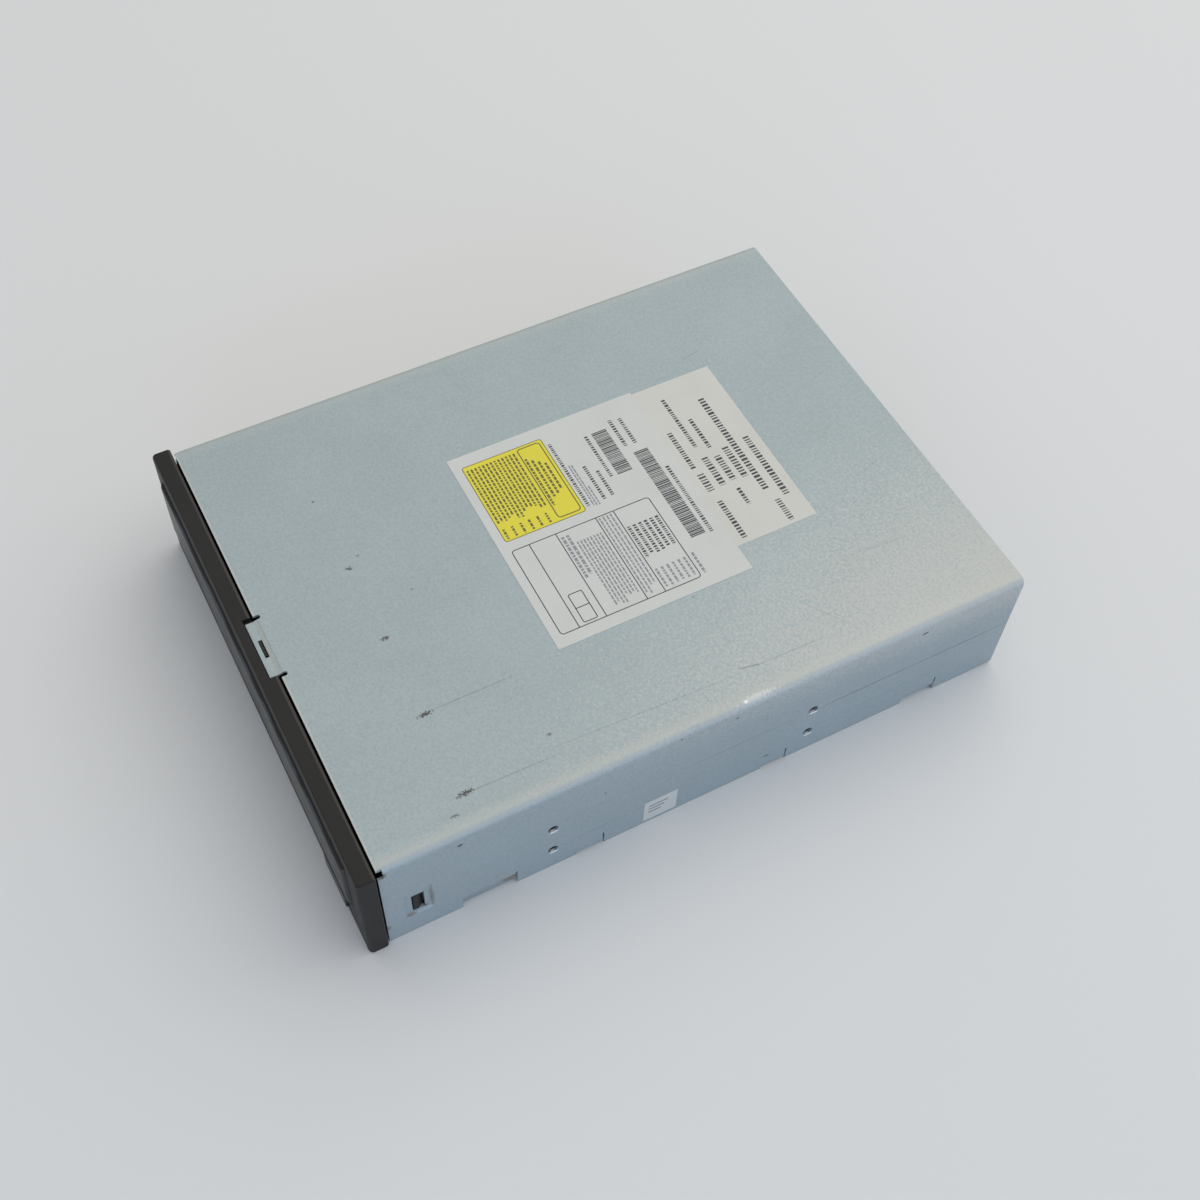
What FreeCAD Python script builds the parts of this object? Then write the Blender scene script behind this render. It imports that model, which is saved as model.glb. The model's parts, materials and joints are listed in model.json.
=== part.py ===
import FreeCAD, Part
import math
import os

V = FreeCAD.Vector

# Half-height built-in disc drive with a motorised tray, in millimetres.
# X runs across the drive, Y from the front to the rear and Z up.
# While the pieces are made, Y = 0 is the front edge of the cover and Z = 0 the underside.
# At the end they all move along Y, so that the origin is under the middle of the whole drive.
# The drive is at rest with its tray closed and its swinging chassis lowered.

# The disc
disc_radius = 60.0
small_disc_radius = 40.0
disc_thickness = 1.2

# Clearances
gap_run = 0.05
gap_slide = 0.25
gap_body = 0.5
gap_cover = 0.1
gap_screw = 0.05
gap_trim = 0.3

# Sheet metal
sheet = 0.8
bend_radius = 2.4

# Across the drive, from the disc outwards
recess_gap = 0.6
tray_rim = 2.9
runner_width = 2.5
tray_side_gap = 0.6
rail_depth = 3.8
frame_wall = 1.6
frame_cover_gap = 2.7
recess_radius = disc_radius + recess_gap
small_recess_radius = small_disc_radius + recess_gap
tray_half = recess_radius + tray_rim
runner_half = tray_half + runner_width
rail_half = tray_half + tray_side_gap
frame_inner_half = rail_half + rail_depth
frame_half = frame_inner_half + frame_wall
cover_inner_half = frame_half + frame_cover_gap
cover_half = cover_inner_half + sheet
plate_half = cover_inner_half - gap_cover
bezel_overhang = 1.2
bezel_half = cover_half + bezel_overhang

# Heights, from the underside up
dish_height = 2.0
foot_z = sheet + dish_height
board_thickness = 1.6
front_board_thickness = 1.2
main_board_z = 3.4
main_board_top = main_board_z + board_thickness
front_board_top = foot_z + front_board_thickness
deck = 1.6
front_deck_z = 5.2
front_deck_top = front_deck_z + deck
cam_deck_z = 3.4
cam_deck_top = cam_deck_z + deck
rear_deck_z = 9.0
rear_deck_top = rear_deck_z + deck

# Heights of the tray, the disc and the clamp
tray_floor_z = 24.0
recess_depth = 3.5
small_recess_depth = 0.9
tray_skin = 1.2
tray_top_z = tray_floor_z + recess_depth
small_floor_z = tray_floor_z - small_recess_depth
tray_under_z = small_floor_z - tray_skin
disc_lift = 2.5
seat_z = tray_floor_z + disc_lift
frame_top_z = tray_top_z + 3.5
bridge_top_z = frame_top_z + 1.0
clamp_face_z = seat_z + disc_thickness + 0.6
drive_height = 41.5
cover_under_z = drive_height - sheet

# Along the drive, from the front to the rear
bezel_gap = 0.6
bezel_depth = 6.0
bezel_skin = 2.4
bezel_edge_radius = 0.7
door_proud = 1.0
door_back_y = -2.8
frame_front_y = 2.0
spindle_y = 66.0
tray_rear_strip = 29.4
tray_rear_y = spindle_y + recess_radius + tray_rear_strip
frame_rear_y = tray_rear_y + 4.5
rear_bay = 31.5
cover_depth = frame_rear_y + rear_bay
plate_front_y = 0.8
plate_rear_y = cover_depth - 0.8
rear_flange_y = plate_rear_y - sheet
bezel_front_y = -bezel_depth
door_front_y = bezel_front_y - door_proud

# Front tab of the cover, which hooks over the bezel
tab_left = -8.3
tab_right = 10.0
tab_length = 2.7
tab_step = 0.5
tab_slot_left = -2.1
tab_slot_right = 3.8
tab_slot_front = -1.55
tab_slot_rear = -0.45
relief_width = 1.3
relief_depth = 1.2
tab_ramp = (-0.5, 0.9)
corner_cut_depth = 1.5
corner_cut_drop = 4.0

# Dished windows of the cover, where the bezel's side hooks snap in
window_y = (7.5, 11.0)
window_z = (10.8, 19.4)
dish_y = (5.5, 13.2)
dish_z = (9.2, 22.6)
dish_depth = 0.5
dish_slope = 0.6

# Reach of a cutting tool that goes right through
beyond = 60.0

# Screw holes that mount the drive in its bay: heights, rows and pitch of the half-height standard
mount_hole_radius = 1.5
mount_first_y = 47.4
mount_pitch_y = 79.24
mount_low_z = 10.0
mount_high_z = 21.84
bottom_hole_half = 69.85
mount_rows_y = (mount_first_y, mount_first_y + mount_pitch_y)

# Lower edge of the cover's sides: start, end, rise of the folded foot and top of the slit behind it
cover_feet = ((54.5, 62.5, 1.2, 5.5), (112.5, 120.2, 1.2, 5.5), (159.8, 170.5, 3.0, 6.5))
foot_reach = 1.7
slit_width = 0.5
side_notch = (21.0, 37.0, 5.6, 6.5)
rear_step_y = 8.0
rear_step_z = 0.5

# Bottom plate
flange_height = 6.0
bead_height = 0.7
bead_half = 4.0
bead_x = (-42.0, -14.0, 8.0, 50.0)
bead_y = (38.0, 90.0)
lip_half = 60.0
mount_relief = 4.0
rear_flange_inset = 1.5
frame_foot_x = frame_half - 2.9
frame_feet_y = (9.0, frame_rear_y - 8.5)
frame_foot_radius = 2.8
frame_dish_radius = 3.0
board_dish_radius = 1.6
dish_flare = 0.9

# Bezel and tray door
door_half = runner_half + 0.5
door_low_z = 16.5
door_high_z = drive_height - 4.0
door_gap = 0.5
door_skin = 1.8
bezel_wall = 1.8
button_half = 7.2
button_half_height = 3.8
button_x = 54.5
button_z = 8.8
button_proud = 0.9
button_travel = 1.0
lamp_x = 38.0
lamp_z = 9.0
pinhole_x = 26.0
pinhole_radius = 0.7
slot_rim = 1.2
tongue_x = 30.0
tongue_half = 6.0
tongue_reach = 1.8

# Tray: its front, its window and the grips beside the disc
tray_front_y = -1.0
tray_wall_drop = 3.4
tray_wall_rise = 2.5
peg_x = 46.0
peg_half = 3.0
peg_thick = 1.7
ledge_half = 5.0
ledge_thick = 1.2
tray_window_half = 20.0
tray_window_margin = 9.0
core_wall = 1.6
core_inner_x = 23.0
core_front = 34.0
core_rear = 40.0
grip_radius = 9.0
grip_x = 47.0
grip_back = 44.0

# Gear train that drives the tray
tray_travel = 138.0
rack_module = 0.8
rack_teeth = math.ceil(tray_travel / (math.pi * rack_module)) + 3
pinion_teeth = 20
wheel_module = 0.6
wheel_teeth = 40
small_pinion_teeth = 18
pressure_angle = math.radians(20.0)
backlash = 0.12
gear_x = -48.0
gear_y = 14.0
post_radius = 1.5
wheel_tip_radius = wheel_module * (wheel_teeth / 2.0 + 1.0)
train_angle = math.radians(17.4)
belt_width = 1.2
belt_half = 0.6
belt_gap = 0.12
pulley_radius = 11.2
motor_pulley_radius = 3.0
pulley_flange = 1.0
motor_radius = 9.0
motor_height = 8.0
motor_x = -2.0
motor_y = 13.2
rack_height = 4.3

# Loader chassis: its guide ledges, ribs and screw bosses
guide_ledge = 1.4
rib_first = 12.0
rib_pitch = 16.0
rib_count = 6
rib_half = 0.6
boss_half = 3.0
boss_inset = 2.3
cam_front_y = gear_y + 9.5
cam_slot_y = cam_front_y + 10.0
cam_side_x = 46.0

# Swinging chassis, drawn level as when a disc plays, then lowered about its hinge
lift_angle = 5.5
sled_inner_radius = 23.0
sled_travel = 35.0
sled_front = 6.2
sled_rear = 12.5
lens_y = spindle_y + sled_inner_radius
tray_window_rear_y = lens_y + sled_travel + tray_window_margin
window_front_y = spindle_y + 16.0
window_rear_y = lens_y + sled_rear + sled_travel + 1.5
hinge_y = window_rear_y + 6.0
chassis_thickness = 3.0
chassis_half = 35.0
seat_above_chassis = 9.0
chassis_front_y = spindle_y - 19.0
chassis_top_z = seat_z - seat_above_chassis
chassis_low_z = chassis_top_z - chassis_thickness
hinge_z = chassis_top_z - 2.0
trunnion_radius = 2.0
bush_radius = 3.6
bush_inner_x = chassis_half + 1.2
bush_width = 4.0
follower_radius = 1.2
follower_x = (-14.0, 16.0)
follower_z = chassis_top_z + 0.5
cam_travel = 15.0
cam_wall_y = chassis_front_y - 4.0
cam_wall = 2.0
cam_gap = 0.2
cam_dwell = 1.5
slider_left = -62.0
slider_right = 30.0
slider_thick = 1.8
cam_wall_left = -36.0
cam_wall_right = 24.0
guide_post_x = (-8.0, 22.0)
guide_post_radius = 1.4

# Screws: radius of the shank, radius of the head and length of the shank
large_screw = (1.2, 2.5, 6.0)
board_screw = (1.0, 1.9, 3.4)
bridge_screw = (0.95, 2.0, 4.5)
motor_screw = (0.8, 1.6, 3.2)
spindle_screw = (0.9, 1.5, 3.4)
screw_head = 1.4

# Spindle, clamp and pickup
rotor_radius = 12.8
turntable_radius = 14.6
cone_radius = 7.4
cone_height = 1.9
cone_relief = 3.0
clamper_radius = 15.0
bridge_half_depth = 17.0
bridge_windows_x = (26.0, 46.0)
bridge_screw_reach = 11.0
spindle_screw_circle = 16.2
spindle_base_radius = 18.0
clamper_hub_radius = 11.6
bridge_hole_radius = 12.3
magnet_radius = 8.0
rail_radius = 1.5
rail_x = 23.0
rail_z = chassis_top_z - 1.5
screw_x = 29.4
screw_z = rail_z - 0.8
screw_radius = 1.5
sled_motor_radius = 4.4

# Main board: front edge, half its width and its screws
board_front_y = 98.0
board_half = 58.0
board_screw_x = board_half - 4.0
board_screw_rows_y = (board_front_y + 4.0, plate_rear_y - 18.6)
controller_place = (-8.0, board_front_y + 32.0)
controller_side = 24.0
driver_place = (34.0, board_front_y + 28.0)
driver_size = (16.0, 9.0)
memory_sizes = ((-38.0, 30.0, 10.2, 18.4, 1.0), (-8.0, 58.0, 12.0, 20.0, 1.0), (20.0, 52.0, 14.0, 8.0, 1.2))
capacitor_sizes = ((-41.0, 3.15), (-33.0, 3.15), (6.0, 2.5), (48.0, 4.0))
capacitor_height = 6.4
socket_height = 1.2
socket_depth = 4.0
front_socket_y = 14.5
cable_socket_x = (20.0, 37.0)
sled_socket_x = (-30.0, -4.0)
cable_thick = 0.25

# Connectors on the rear edge of the main board
pin_pitch = 2.54
pin_half = 0.32
power_pitch = 5.08
power_pin_radius = 1.05
ide_centre_x = -13.9
ide_columns = 20
power_centre_x = -57.0
jumper_centre_x = board_half - 36.0
audio_centre_x = board_half - 19.0
connector_depth = 9.2
ide_height = 9.0
ide_end_wall = 3.3
power_height = 10.5
power_end_wall = 1.6
power_bevel = 2.0
power_neck = 5.0
jumper_height = 7.5
jumper_half = 4.6
audio_height = 8.0
audio_half = 6.6
connector_front_y = cover_depth - 0.4 - connector_depth
connector_wall = 1.2


def block(x0, x1, y0, y1, z0, z1):
    """Box between two limits on each axis."""
    return Part.makeBox(x1 - x0, y1 - y0, z1 - z0, V(x0, y0, z0))


def post(x, y, z0, z1, radius):
    """Upright cylinder."""
    return Part.makeCylinder(radius, z1 - z0, V(x, y, z0))


def cone(x, y, z0, z1, radius_low, radius_high):
    """Upright cone or frustum."""
    return Part.makeCone(radius_low, radius_high, z1 - z0, V(x, y, z0))


def bar_x(x0, x1, y, z, radius):
    """Cylinder that lies along X."""
    return Part.makeCylinder(radius, x1 - x0, V(x0, y, z), V(1, 0, 0))


def bar_y(x, y0, y1, z, radius):
    """Cylinder that lies along Y."""
    return Part.makeCylinder(radius, y1 - y0, V(x, y0, z), V(0, 1, 0))


def joined(*shapes):
    """One solid from pieces that touch or overlap."""
    return shapes[0].multiFuse(list(shapes[1:])).removeSplitter()


def cut(shape, *tools):
    """The shape less each of the tools."""
    return shape.cut(list(tools))


def mirrored(shape):
    """Copy on the other side of the drive."""
    return shape.mirror(V(0, 0, 0), V(1, 0, 0))


def on_both_sides(*shapes):
    """The shapes and their mirror images."""
    return [*shapes, *[mirrored(shape) for shape in shapes]]


def rounded(shape, radius, chosen):
    """Fillet the edges that a test of the edge's middle point and direction chooses."""
    edges = []
    for edge in shape.Edges:
        start = edge.Vertexes[0].Point
        end = edge.Vertexes[-1].Point
        middle = (start + end) * 0.5
        along = end - start
        if along.Length > 1e-6 and chosen(middle, along.normalize()):
            edges.append(edge)
    return shape.makeFillet(radius, edges)


def is_upright(middle, along):
    """Edges that stand up."""
    return abs(along.z) > 0.99


def broken_rim(shape, height, reach):
    """Chamfer the level edges at a height."""
    edges = [edge for edge in shape.Edges
             if abs(edge.BoundBox.ZMin - height) < 1e-5 and abs(edge.BoundBox.ZMax - height) < 1e-5]
    return shape.makeChamfer(reach, edges)


def rounded_block(x0, x1, y0, y1, z0, z1, radius):
    """Box with rounded upright corners."""
    return rounded(block(x0, x1, y0, y1, z0, z1), radius, is_upright)


def extruded(points, along):
    """Prism on a closed outline of straight lines."""
    wire = Part.makePolygon([*points, points[0]])
    return Part.Face(wire).extrude(along)


def across(points, x0, x1):
    """Prism across the drive on an outline of (y, z) points."""
    return extruded([V(x0, y, z) for y, z in points], V(x1 - x0, 0, 0))


def lengthwise(points, y0, y1):
    """Prism along the drive on an outline of (x, z) points."""
    return extruded([V(x, y0, z) for x, z in points], V(0, y1 - y0, 0))


def upright(points, z0, z1):
    """Upright prism on an outline of (x, y) points."""
    return extruded([V(x, y, z0) for x, y in points], V(0, 0, z1 - z0))


def slot_x(x0, x1, y, z0, z1, radius):
    """Upright obround that runs along X."""
    ends = [post(x, y, z0, z1, radius) for x in (x0, x1)]
    return joined(block(x0, x1, y - radius, y + radius, z0, z1), *ends)


def slot_y(x, y0, y1, z0, z1, radius):
    """Upright obround that runs along Y."""
    ends = [post(x, y, z0, z1, radius) for y in (y0, y1)]
    return joined(block(x - radius, x + radius, y0, y1, z0, z1), *ends)


def folded_channel(half, fold_z, edge_z, radius, y0, y1):
    """Sheet folded to a channel: a flat at fold_z with both sides reaching edge_z."""
    way = 1.0 if edge_z > fold_z else -1.0
    bend = math.sqrt(0.5)

    def point(x, rise):
        return V(x, y0, fold_z + way * rise)

    def corner(side, offset):
        inner = radius - offset
        centre_x = side * (half - radius)
        start = point(side * (half - offset), radius)
        middle = point(centre_x + side * inner * bend, radius - inner * bend)
        end = point(centre_x, offset)
        return start, middle, end

    reach = abs(edge_z - fold_z)
    left_out = corner(-1, 0.0)
    right_out = corner(1, 0.0)
    left_in = corner(-1, sheet)
    right_in = corner(1, sheet)
    edges = [
        Part.LineSegment(point(-half, reach), left_out[0]),
        Part.Arc(*left_out),
        Part.LineSegment(left_out[2], right_out[2]),
        Part.Arc(right_out[2], right_out[1], right_out[0]),
        Part.LineSegment(right_out[0], point(half, reach)),
        Part.LineSegment(point(half, reach), point(half - sheet, reach)),
        Part.LineSegment(point(half - sheet, reach), right_in[0]),
        Part.Arc(*right_in),
        Part.LineSegment(right_in[2], left_in[2]),
        Part.Arc(left_in[2], left_in[1], left_in[0]),
        Part.LineSegment(left_in[0], point(sheet - half, reach)),
        Part.LineSegment(point(sheet - half, reach), point(-half, reach)),
    ]
    wire = Part.Wire([edge.toShape() for edge in edges])
    return Part.Face(wire).extrude(V(0, y1 - y0, 0))


def tapered_pad(y_range, z_range, x_wide, x_narrow):
    """Pressed pad of the side sheet: full size at x_wide, smaller by the slope at x_narrow."""
    wires = []
    for x, inset in ((x_wide, 0.0), (x_narrow, dish_slope)):
        y0, y1 = y_range[0] + inset, y_range[1] - inset
        z0, z1 = z_range[0] + inset, z_range[1] - inset
        corners = [V(x, y0, z0), V(x, y1, z0), V(x, y1, z1), V(x, y0, z1)]
        wires.append(Part.makePolygon([*corners, corners[0]]))
    return Part.makeLoft(wires, True, True)


def involute(angle):
    """Involute function of a pressure angle."""
    return math.tan(angle) - angle


def gear(module, teeth, x, y, z0, z1, phase):
    """Spur gear with involute flanks, one tooth centred on the phase angle."""
    pitch = module * teeth / 2.0
    base = pitch * math.cos(pressure_angle)
    tip = pitch + module
    root = pitch - 1.25 * module
    half_tooth = (math.pi * module / 2.0 - backlash / 2.0) / (2.0 * pitch)

    def half_angle(radius):
        if radius <= base:
            return half_tooth + involute(pressure_angle)
        return half_tooth + involute(pressure_angle) - involute(math.acos(base / radius))

    def at(radius, angle):
        return V(x + radius * math.cos(angle), y + radius * math.sin(angle), z0)

    start = max(root, base)
    middle = (start + tip) / 2.0
    step = 2.0 * math.pi / teeth
    edges = []
    for tooth in range(teeth):
        centre = phase + tooth * step
        low = [at(r, centre - half_angle(r)) for r in (root, start, middle, tip)]
        high = [at(r, centre + half_angle(r)) for r in (tip, middle, start, root)]
        if root < base:
            edges.append(Part.LineSegment(low[0], low[1]))
        edges.append(Part.Arc(low[1], low[2], low[3]))
        edges.append(Part.LineSegment(low[3], high[0]))
        edges.append(Part.Arc(high[0], high[1], high[2]))
        if root < base:
            edges.append(Part.LineSegment(high[2], high[3]))
        following = at(root, centre + step - half_angle(root))
        edges.append(Part.LineSegment(high[3], following))
    wire = Part.Wire([edge.toShape() for edge in edges])
    return Part.Face(wire).extrude(V(0, 0, z1 - z0))


def rack_outline(pitch_line, space_at, first, teeth, facing):
    """Outline points (along, across) of a straight rack, with a space centred on space_at."""
    pitch = math.pi * rack_module
    slope = math.tan(pressure_angle)
    half_thick = pitch / 4.0 - backlash / 4.0
    tip = pitch_line + facing * rack_module
    root = pitch_line - facing * 1.25 * rack_module
    half_tip = half_thick - rack_module * slope
    half_root = half_thick + 1.25 * rack_module * slope
    points = []
    for tooth in range(teeth):
        centre = space_at + (first + tooth + 0.5) * pitch
        points.append((centre - half_root, root))
        points.append((centre - half_tip, tip))
        points.append((centre + half_tip, tip))
        points.append((centre + half_root, root))
    return points


def lowered(shape):
    """A shape of the swinging chassis, tilted down about its hinge to the rest position."""
    tilted = shape.copy()
    tilted.rotate(V(0, hinge_y, hinge_z), V(1, 0, 0), lift_angle)
    return tilted


def lowered_point(x, y, z):
    """Where a point of the level chassis lies at rest."""
    angle = math.radians(lift_angle)
    back, up = y - hinge_y, z - hinge_z
    return (x, hinge_y + back * math.cos(angle) - up * math.sin(angle),
            hinge_z + back * math.sin(angle) + up * math.cos(angle))


def front_tab():
    """Tab at the middle of the cover's front edge, stepped down over the bezel."""
    low = drive_height - tab_step
    start = relief_depth
    outline = [
        (start, drive_height),
        (tab_ramp[1], drive_height),
        (tab_ramp[0], low),
        (-tab_length, low),
        (-tab_length, low - sheet),
        (tab_ramp[0], low - sheet),
        (tab_ramp[1], cover_under_z),
        (start, cover_under_z),
    ]
    slot = block(tab_slot_left, tab_slot_right, tab_slot_front, tab_slot_rear, low - 2, drive_height)
    return cut(across(outline, tab_left, tab_right), slot)


def cover_side_cuts():
    """Cuts and additions of the right side of the cover."""
    outer = cover_half + 1.0
    inner = cover_inner_half - 1.0
    cuts = []
    for start, end, rise, slit_top in cover_feet:
        cuts.append(block(inner, outer, start, end + slit_width, -1.0, rise))
        cuts.append(block(inner, outer, end, end + slit_width, -1.0, slit_top))
    start, end, rise, slit_top = side_notch
    cuts.append(block(inner, outer, start, end, -1.0, rise))
    cuts.append(block(inner, outer, end - slit_width, end, -1.0, slit_top))
    cuts.append(block(inner, outer, cover_depth - rear_step_y, cover_depth + 1, -1.0, rear_step_z))
    for y in mount_rows_y:
        for z in (mount_low_z, mount_high_z):
            cuts.append(bar_x(inner, outer, y, z, mount_hole_radius))
    return cuts


def corner_cut():
    """Small cut where the right bend of the sheet meets its front edge."""
    return block(cover_inner_half - gap_slide, cover_half + 1.0, -1.0, corner_cut_depth,
                 drive_height - corner_cut_drop, drive_height + 1)


def top_cover():
    """Steel sheet folded over the top and both sides."""
    cover = folded_channel(cover_half, drive_height, 0.0, bend_radius, 0.0, cover_depth)
    slits = [
        slot_y(tab_left - relief_width / 2, -1.0, relief_depth, cover_under_z - 1, drive_height + 1,
               relief_width / 2),
        slot_y(tab_right + relief_width / 2, -1.0, relief_depth, cover_under_z - 1, drive_height + 1,
               relief_width / 2),
        block(tab_left, tab_right, -1.0, relief_depth, cover_under_z - 1, drive_height + 1),
    ]
    cover = cut(cover, *slits, *on_both_sides(*cover_side_cuts(), corner_cut()))
    pocket = tapered_pad(dish_y, dish_z, cover_half, cover_half - dish_depth)
    pad = tapered_pad(dish_y, dish_z, cover_inner_half, cover_inner_half - dish_depth)
    cover = cut(cover, *on_both_sides(pocket))
    feet = []
    for start, end, rise, _ in cover_feet:
        feet.append(block(cover_inner_half - foot_reach, cover_inner_half + 0.4,
                          start + 0.3, end - 0.1, rise, rise + sheet))
    cover = joined(cover, front_tab(), *on_both_sides(pad, *feet))
    window = block(cover_inner_half - 2, cover_half + 1, *window_y, *window_z)
    return cut(cover, *on_both_sides(window))


def frame_foot_places():
    """Where the loader chassis stands on the bottom plate."""
    return [(side * frame_foot_x, y) for side in (-1, 1) for y in frame_feet_y]


def board_screw_places():
    """Where the main board is screwed down."""
    return [(side * board_screw_x, y) for side in (-1, 1) for y in board_screw_rows_y]


def pressed_dish(x, y, rise, radius):
    """Round pad pressed up from the bottom plate: what it adds and what it removes."""
    adds = cone(x, y, 0.0, rise + sheet, radius + sheet + dish_flare, radius + sheet)
    removes = cone(x, y, -0.01, rise, radius + dish_flare, radius)
    return adds, removes


def bottom_plate():
    """Steel tray that closes the drive from below, with an upright rear flange."""
    plate = folded_channel(plate_half, 0.0, flange_height, sheet + 0.3, plate_front_y, plate_rear_y)
    flange_half = plate_half - rear_flange_inset
    flange = block(-flange_half, flange_half, rear_flange_y, plate_rear_y, 0.0, cover_under_z - gap_trim)
    lip = block(-lip_half, lip_half, plate_front_y, plate_front_y + sheet, 0.0, foot_z)
    plate = joined(plate, flange, lip)
    flange_inner = plate_half - sheet
    cuts = []
    for start, end, rise, _ in cover_feet:
        cuts.append(block(flange_inner - 0.5, plate_half + 0.5, start - 0.2, end + 0.4,
                          rise - 0.2, rise + sheet + 0.2))
    for y in mount_rows_y:
        cuts.append(block(flange_inner - 1.5, plate_half + 0.5, y - mount_relief,
                          y + mount_relief, sheet, flange_height + 1))
    cuts.append(block(flange_inner - 0.5, plate_half + 0.5, rear_flange_y - 1.5, plate_rear_y + 1,
                      sheet, flange_height + 1))
    holes = [post(bottom_hole_half, y, -1, 2, mount_hole_radius) for y in mount_rows_y]
    adds, removes = [], []
    for x, y in frame_foot_places():
        pad, hollow = pressed_dish(x, y, dish_height, frame_dish_radius)
        adds.append(pad)
        removes.extend([hollow, post(x, y, 0, foot_z + 1, large_screw[0] + gap_slide)])
    for x, y in board_screw_places():
        pad, hollow = pressed_dish(x, y, main_board_z - sheet, board_dish_radius)
        adds.append(pad)
        removes.extend([hollow, post(x, y, 0, main_board_z + 1, board_screw[0] + gap_screw)])
    for x in bead_x:
        adds.append(slot_y(x, *bead_y, 0.0, sheet + bead_height, bead_half))
        removes.append(slot_y(x, *bead_y, -0.01, bead_height, bead_half - sheet))
    plate = joined(cut(plate, *on_both_sides(*cuts, *holes)), *adds)
    return cut(plate, *removes, *connector_openings())


def connector_openings():
    """Openings of the rear flange around the connectors."""
    y0, y1 = rear_flange_y - 1, plate_rear_y + 1
    openings = []
    for x0, x1, z1 in connector_outlines():
        openings.append(block(x0 - gap_trim, x1 + gap_trim, y0, y1,
                              main_board_top - gap_trim, z1 + gap_trim))
    return openings


def connector_outlines():
    """Left, right and top of each connector's housing."""
    ide = pin_pitch * ide_columns / 2 + ide_end_wall
    power = power_pitch * 2 + power_end_wall
    return [
        (ide_centre_x - ide, ide_centre_x + ide, main_board_top + ide_height),
        (power_centre_x - power, power_centre_x + power, main_board_top + power_height),
        (jumper_centre_x - jumper_half, jumper_centre_x + jumper_half, main_board_top + jumper_height),
        (audio_centre_x - audio_half, audio_centre_x + audio_half, main_board_top + audio_height),
    ]


def front_bezel():
    """Moulded front frame with the tray slot, the button's opening and the snap hooks."""
    shell = block(-bezel_half, bezel_half, bezel_front_y, -bezel_gap, 0.0, drive_height)
    shell = rounded(shell, 1.4, lambda middle, along: is_upright(middle, along) and middle.y < -3)
    shell = rounded(shell, 0.7, lambda middle, along: abs(middle.y - bezel_front_y) < 0.01)
    shell = rounded(shell, bezel_edge_radius, lambda middle, along: abs(middle.y + bezel_gap) < 0.01)
    slot = (-door_half - door_gap, door_half + door_gap, door_low_z - door_gap, door_high_z + door_gap)
    back = bezel_front_y + bezel_skin
    hollow = block(bezel_wall - bezel_half, bezel_half - bezel_wall, back, 0.0,
                   bezel_wall, drive_height - bezel_wall)
    rim_block = block(slot[0] - slot_rim, slot[1] + slot_rim, back, -2.0 * bezel_gap,
                      slot[2] - slot_rim, slot[3] + slot_rim)
    opening = block(slot[0], slot[1], bezel_front_y - 1, 1.0, slot[2], slot[3])
    button = rounded_front(button_half + gap_trim, button_half_height + gap_trim, 1.3,
                           bezel_front_y - 1, back + 1)
    lamp = block(lamp_x - 1.6, lamp_x + 1.6, bezel_front_y - 1, back + 1, lamp_z - 0.9, lamp_z + 0.9)
    pinhole = bar_y(pinhole_x, bezel_front_y - 1, back + 1, lamp_z, pinhole_radius)
    tab_recess = block(tab_left - 1.4, tab_right + gap_slide, -tab_length - 0.3, 1.0,
                       drive_height - tab_step - sheet - gap_cover, drive_height + 1)
    bezel = cut(joined(cut(shell, hollow), rim_block), opening, button, lamp, pinhole, tab_recess)
    arm_out = cover_inner_half - dish_depth - 0.3
    arm = block(arm_out - 1.3, arm_out, -bezel_gap - 2, window_y[1] + 1.0,
                window_z[0] + 0.3, window_z[1] - 0.3)
    root_pad = block(arm_out - 1.3, bezel_half - 1.0, back + 0.5, -bezel_gap - 0.2,
                     window_z[0] + 0.3, window_z[1] - 0.3)
    hook = upright([(arm_out, window_y[1] - 0.3), (cover_half - 0.4, window_y[0] + 1.6),
                    (cover_half - 0.4, window_y[0] + 0.3), (arm_out, window_y[0] + 0.3)],
                   window_z[0] + 0.3, window_z[1] - 0.3)
    top_hook = across([(-1.4, drive_height - tab_step - sheet - 0.6),
                       (-1.4, drive_height - 0.5), (-0.9, drive_height - 0.35),
                       (-0.65, drive_height - 0.8), (-0.65, drive_height - tab_step - sheet - 0.6)],
                      tab_slot_left + 0.5, tab_slot_right - 0.5)
    tongue = block(tongue_x - tongue_half, tongue_x + tongue_half, -bezel_gap - 2.0, bezel_gap + tongue_reach,
                   foot_z + gap_trim, foot_z + 1.5)
    tongue_root = block(tongue_x - tongue_half, tongue_x + tongue_half, back, -bezel_gap - 1.2,
                        1.0, foot_z + 1.5)
    return joined(bezel, top_hook, *on_both_sides(arm, root_pad, hook, tongue, tongue_root))


def rounded_front(half, half_height, radius, y0, y1):
    """Bar along Y at the button's place, with rounded long edges."""
    bar = block(button_x - half, button_x + half, y0, y1, button_z - half_height, button_z + half_height)
    return rounded(bar, radius, lambda middle, along: abs(along.y) > 0.99)


def eject_button():
    """Push button with its inner flange and plunger."""
    front = bezel_front_y - button_proud
    inner = bezel_front_y + bezel_skin + gap_trim
    cap = rounded_front(button_half, button_half_height, 1.0, front, inner + 0.4)
    cap = rounded(cap, 0.5, lambda middle, along: abs(middle.y - front) < 0.01)
    hollow = block(button_x - button_half + 1.3, button_x + button_half - 1.3, front + 1.5, inner + 2,
                   button_z - button_half_height + 1.3, button_z + button_half_height - 1.3)
    flange = block(button_x - button_half - 0.9, button_x + button_half + 0.9, inner, inner + 0.9,
                   button_z - button_half_height - 0.9, button_z + button_half_height + 0.9)
    plunger = block(button_x - 1.5, button_x + 1.5, front + 1.0, switch_front_y() - button_travel - 0.3,
                    button_z - 1.3, button_z + 1.3)
    web = block(button_x - button_half + 0.5, button_x + button_half - 0.5, front + 1.0, inner + 0.9,
                button_z - 0.5, button_z + 0.5)
    return joined(cut(joined(cap, flange), hollow), plunger, web)


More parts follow.
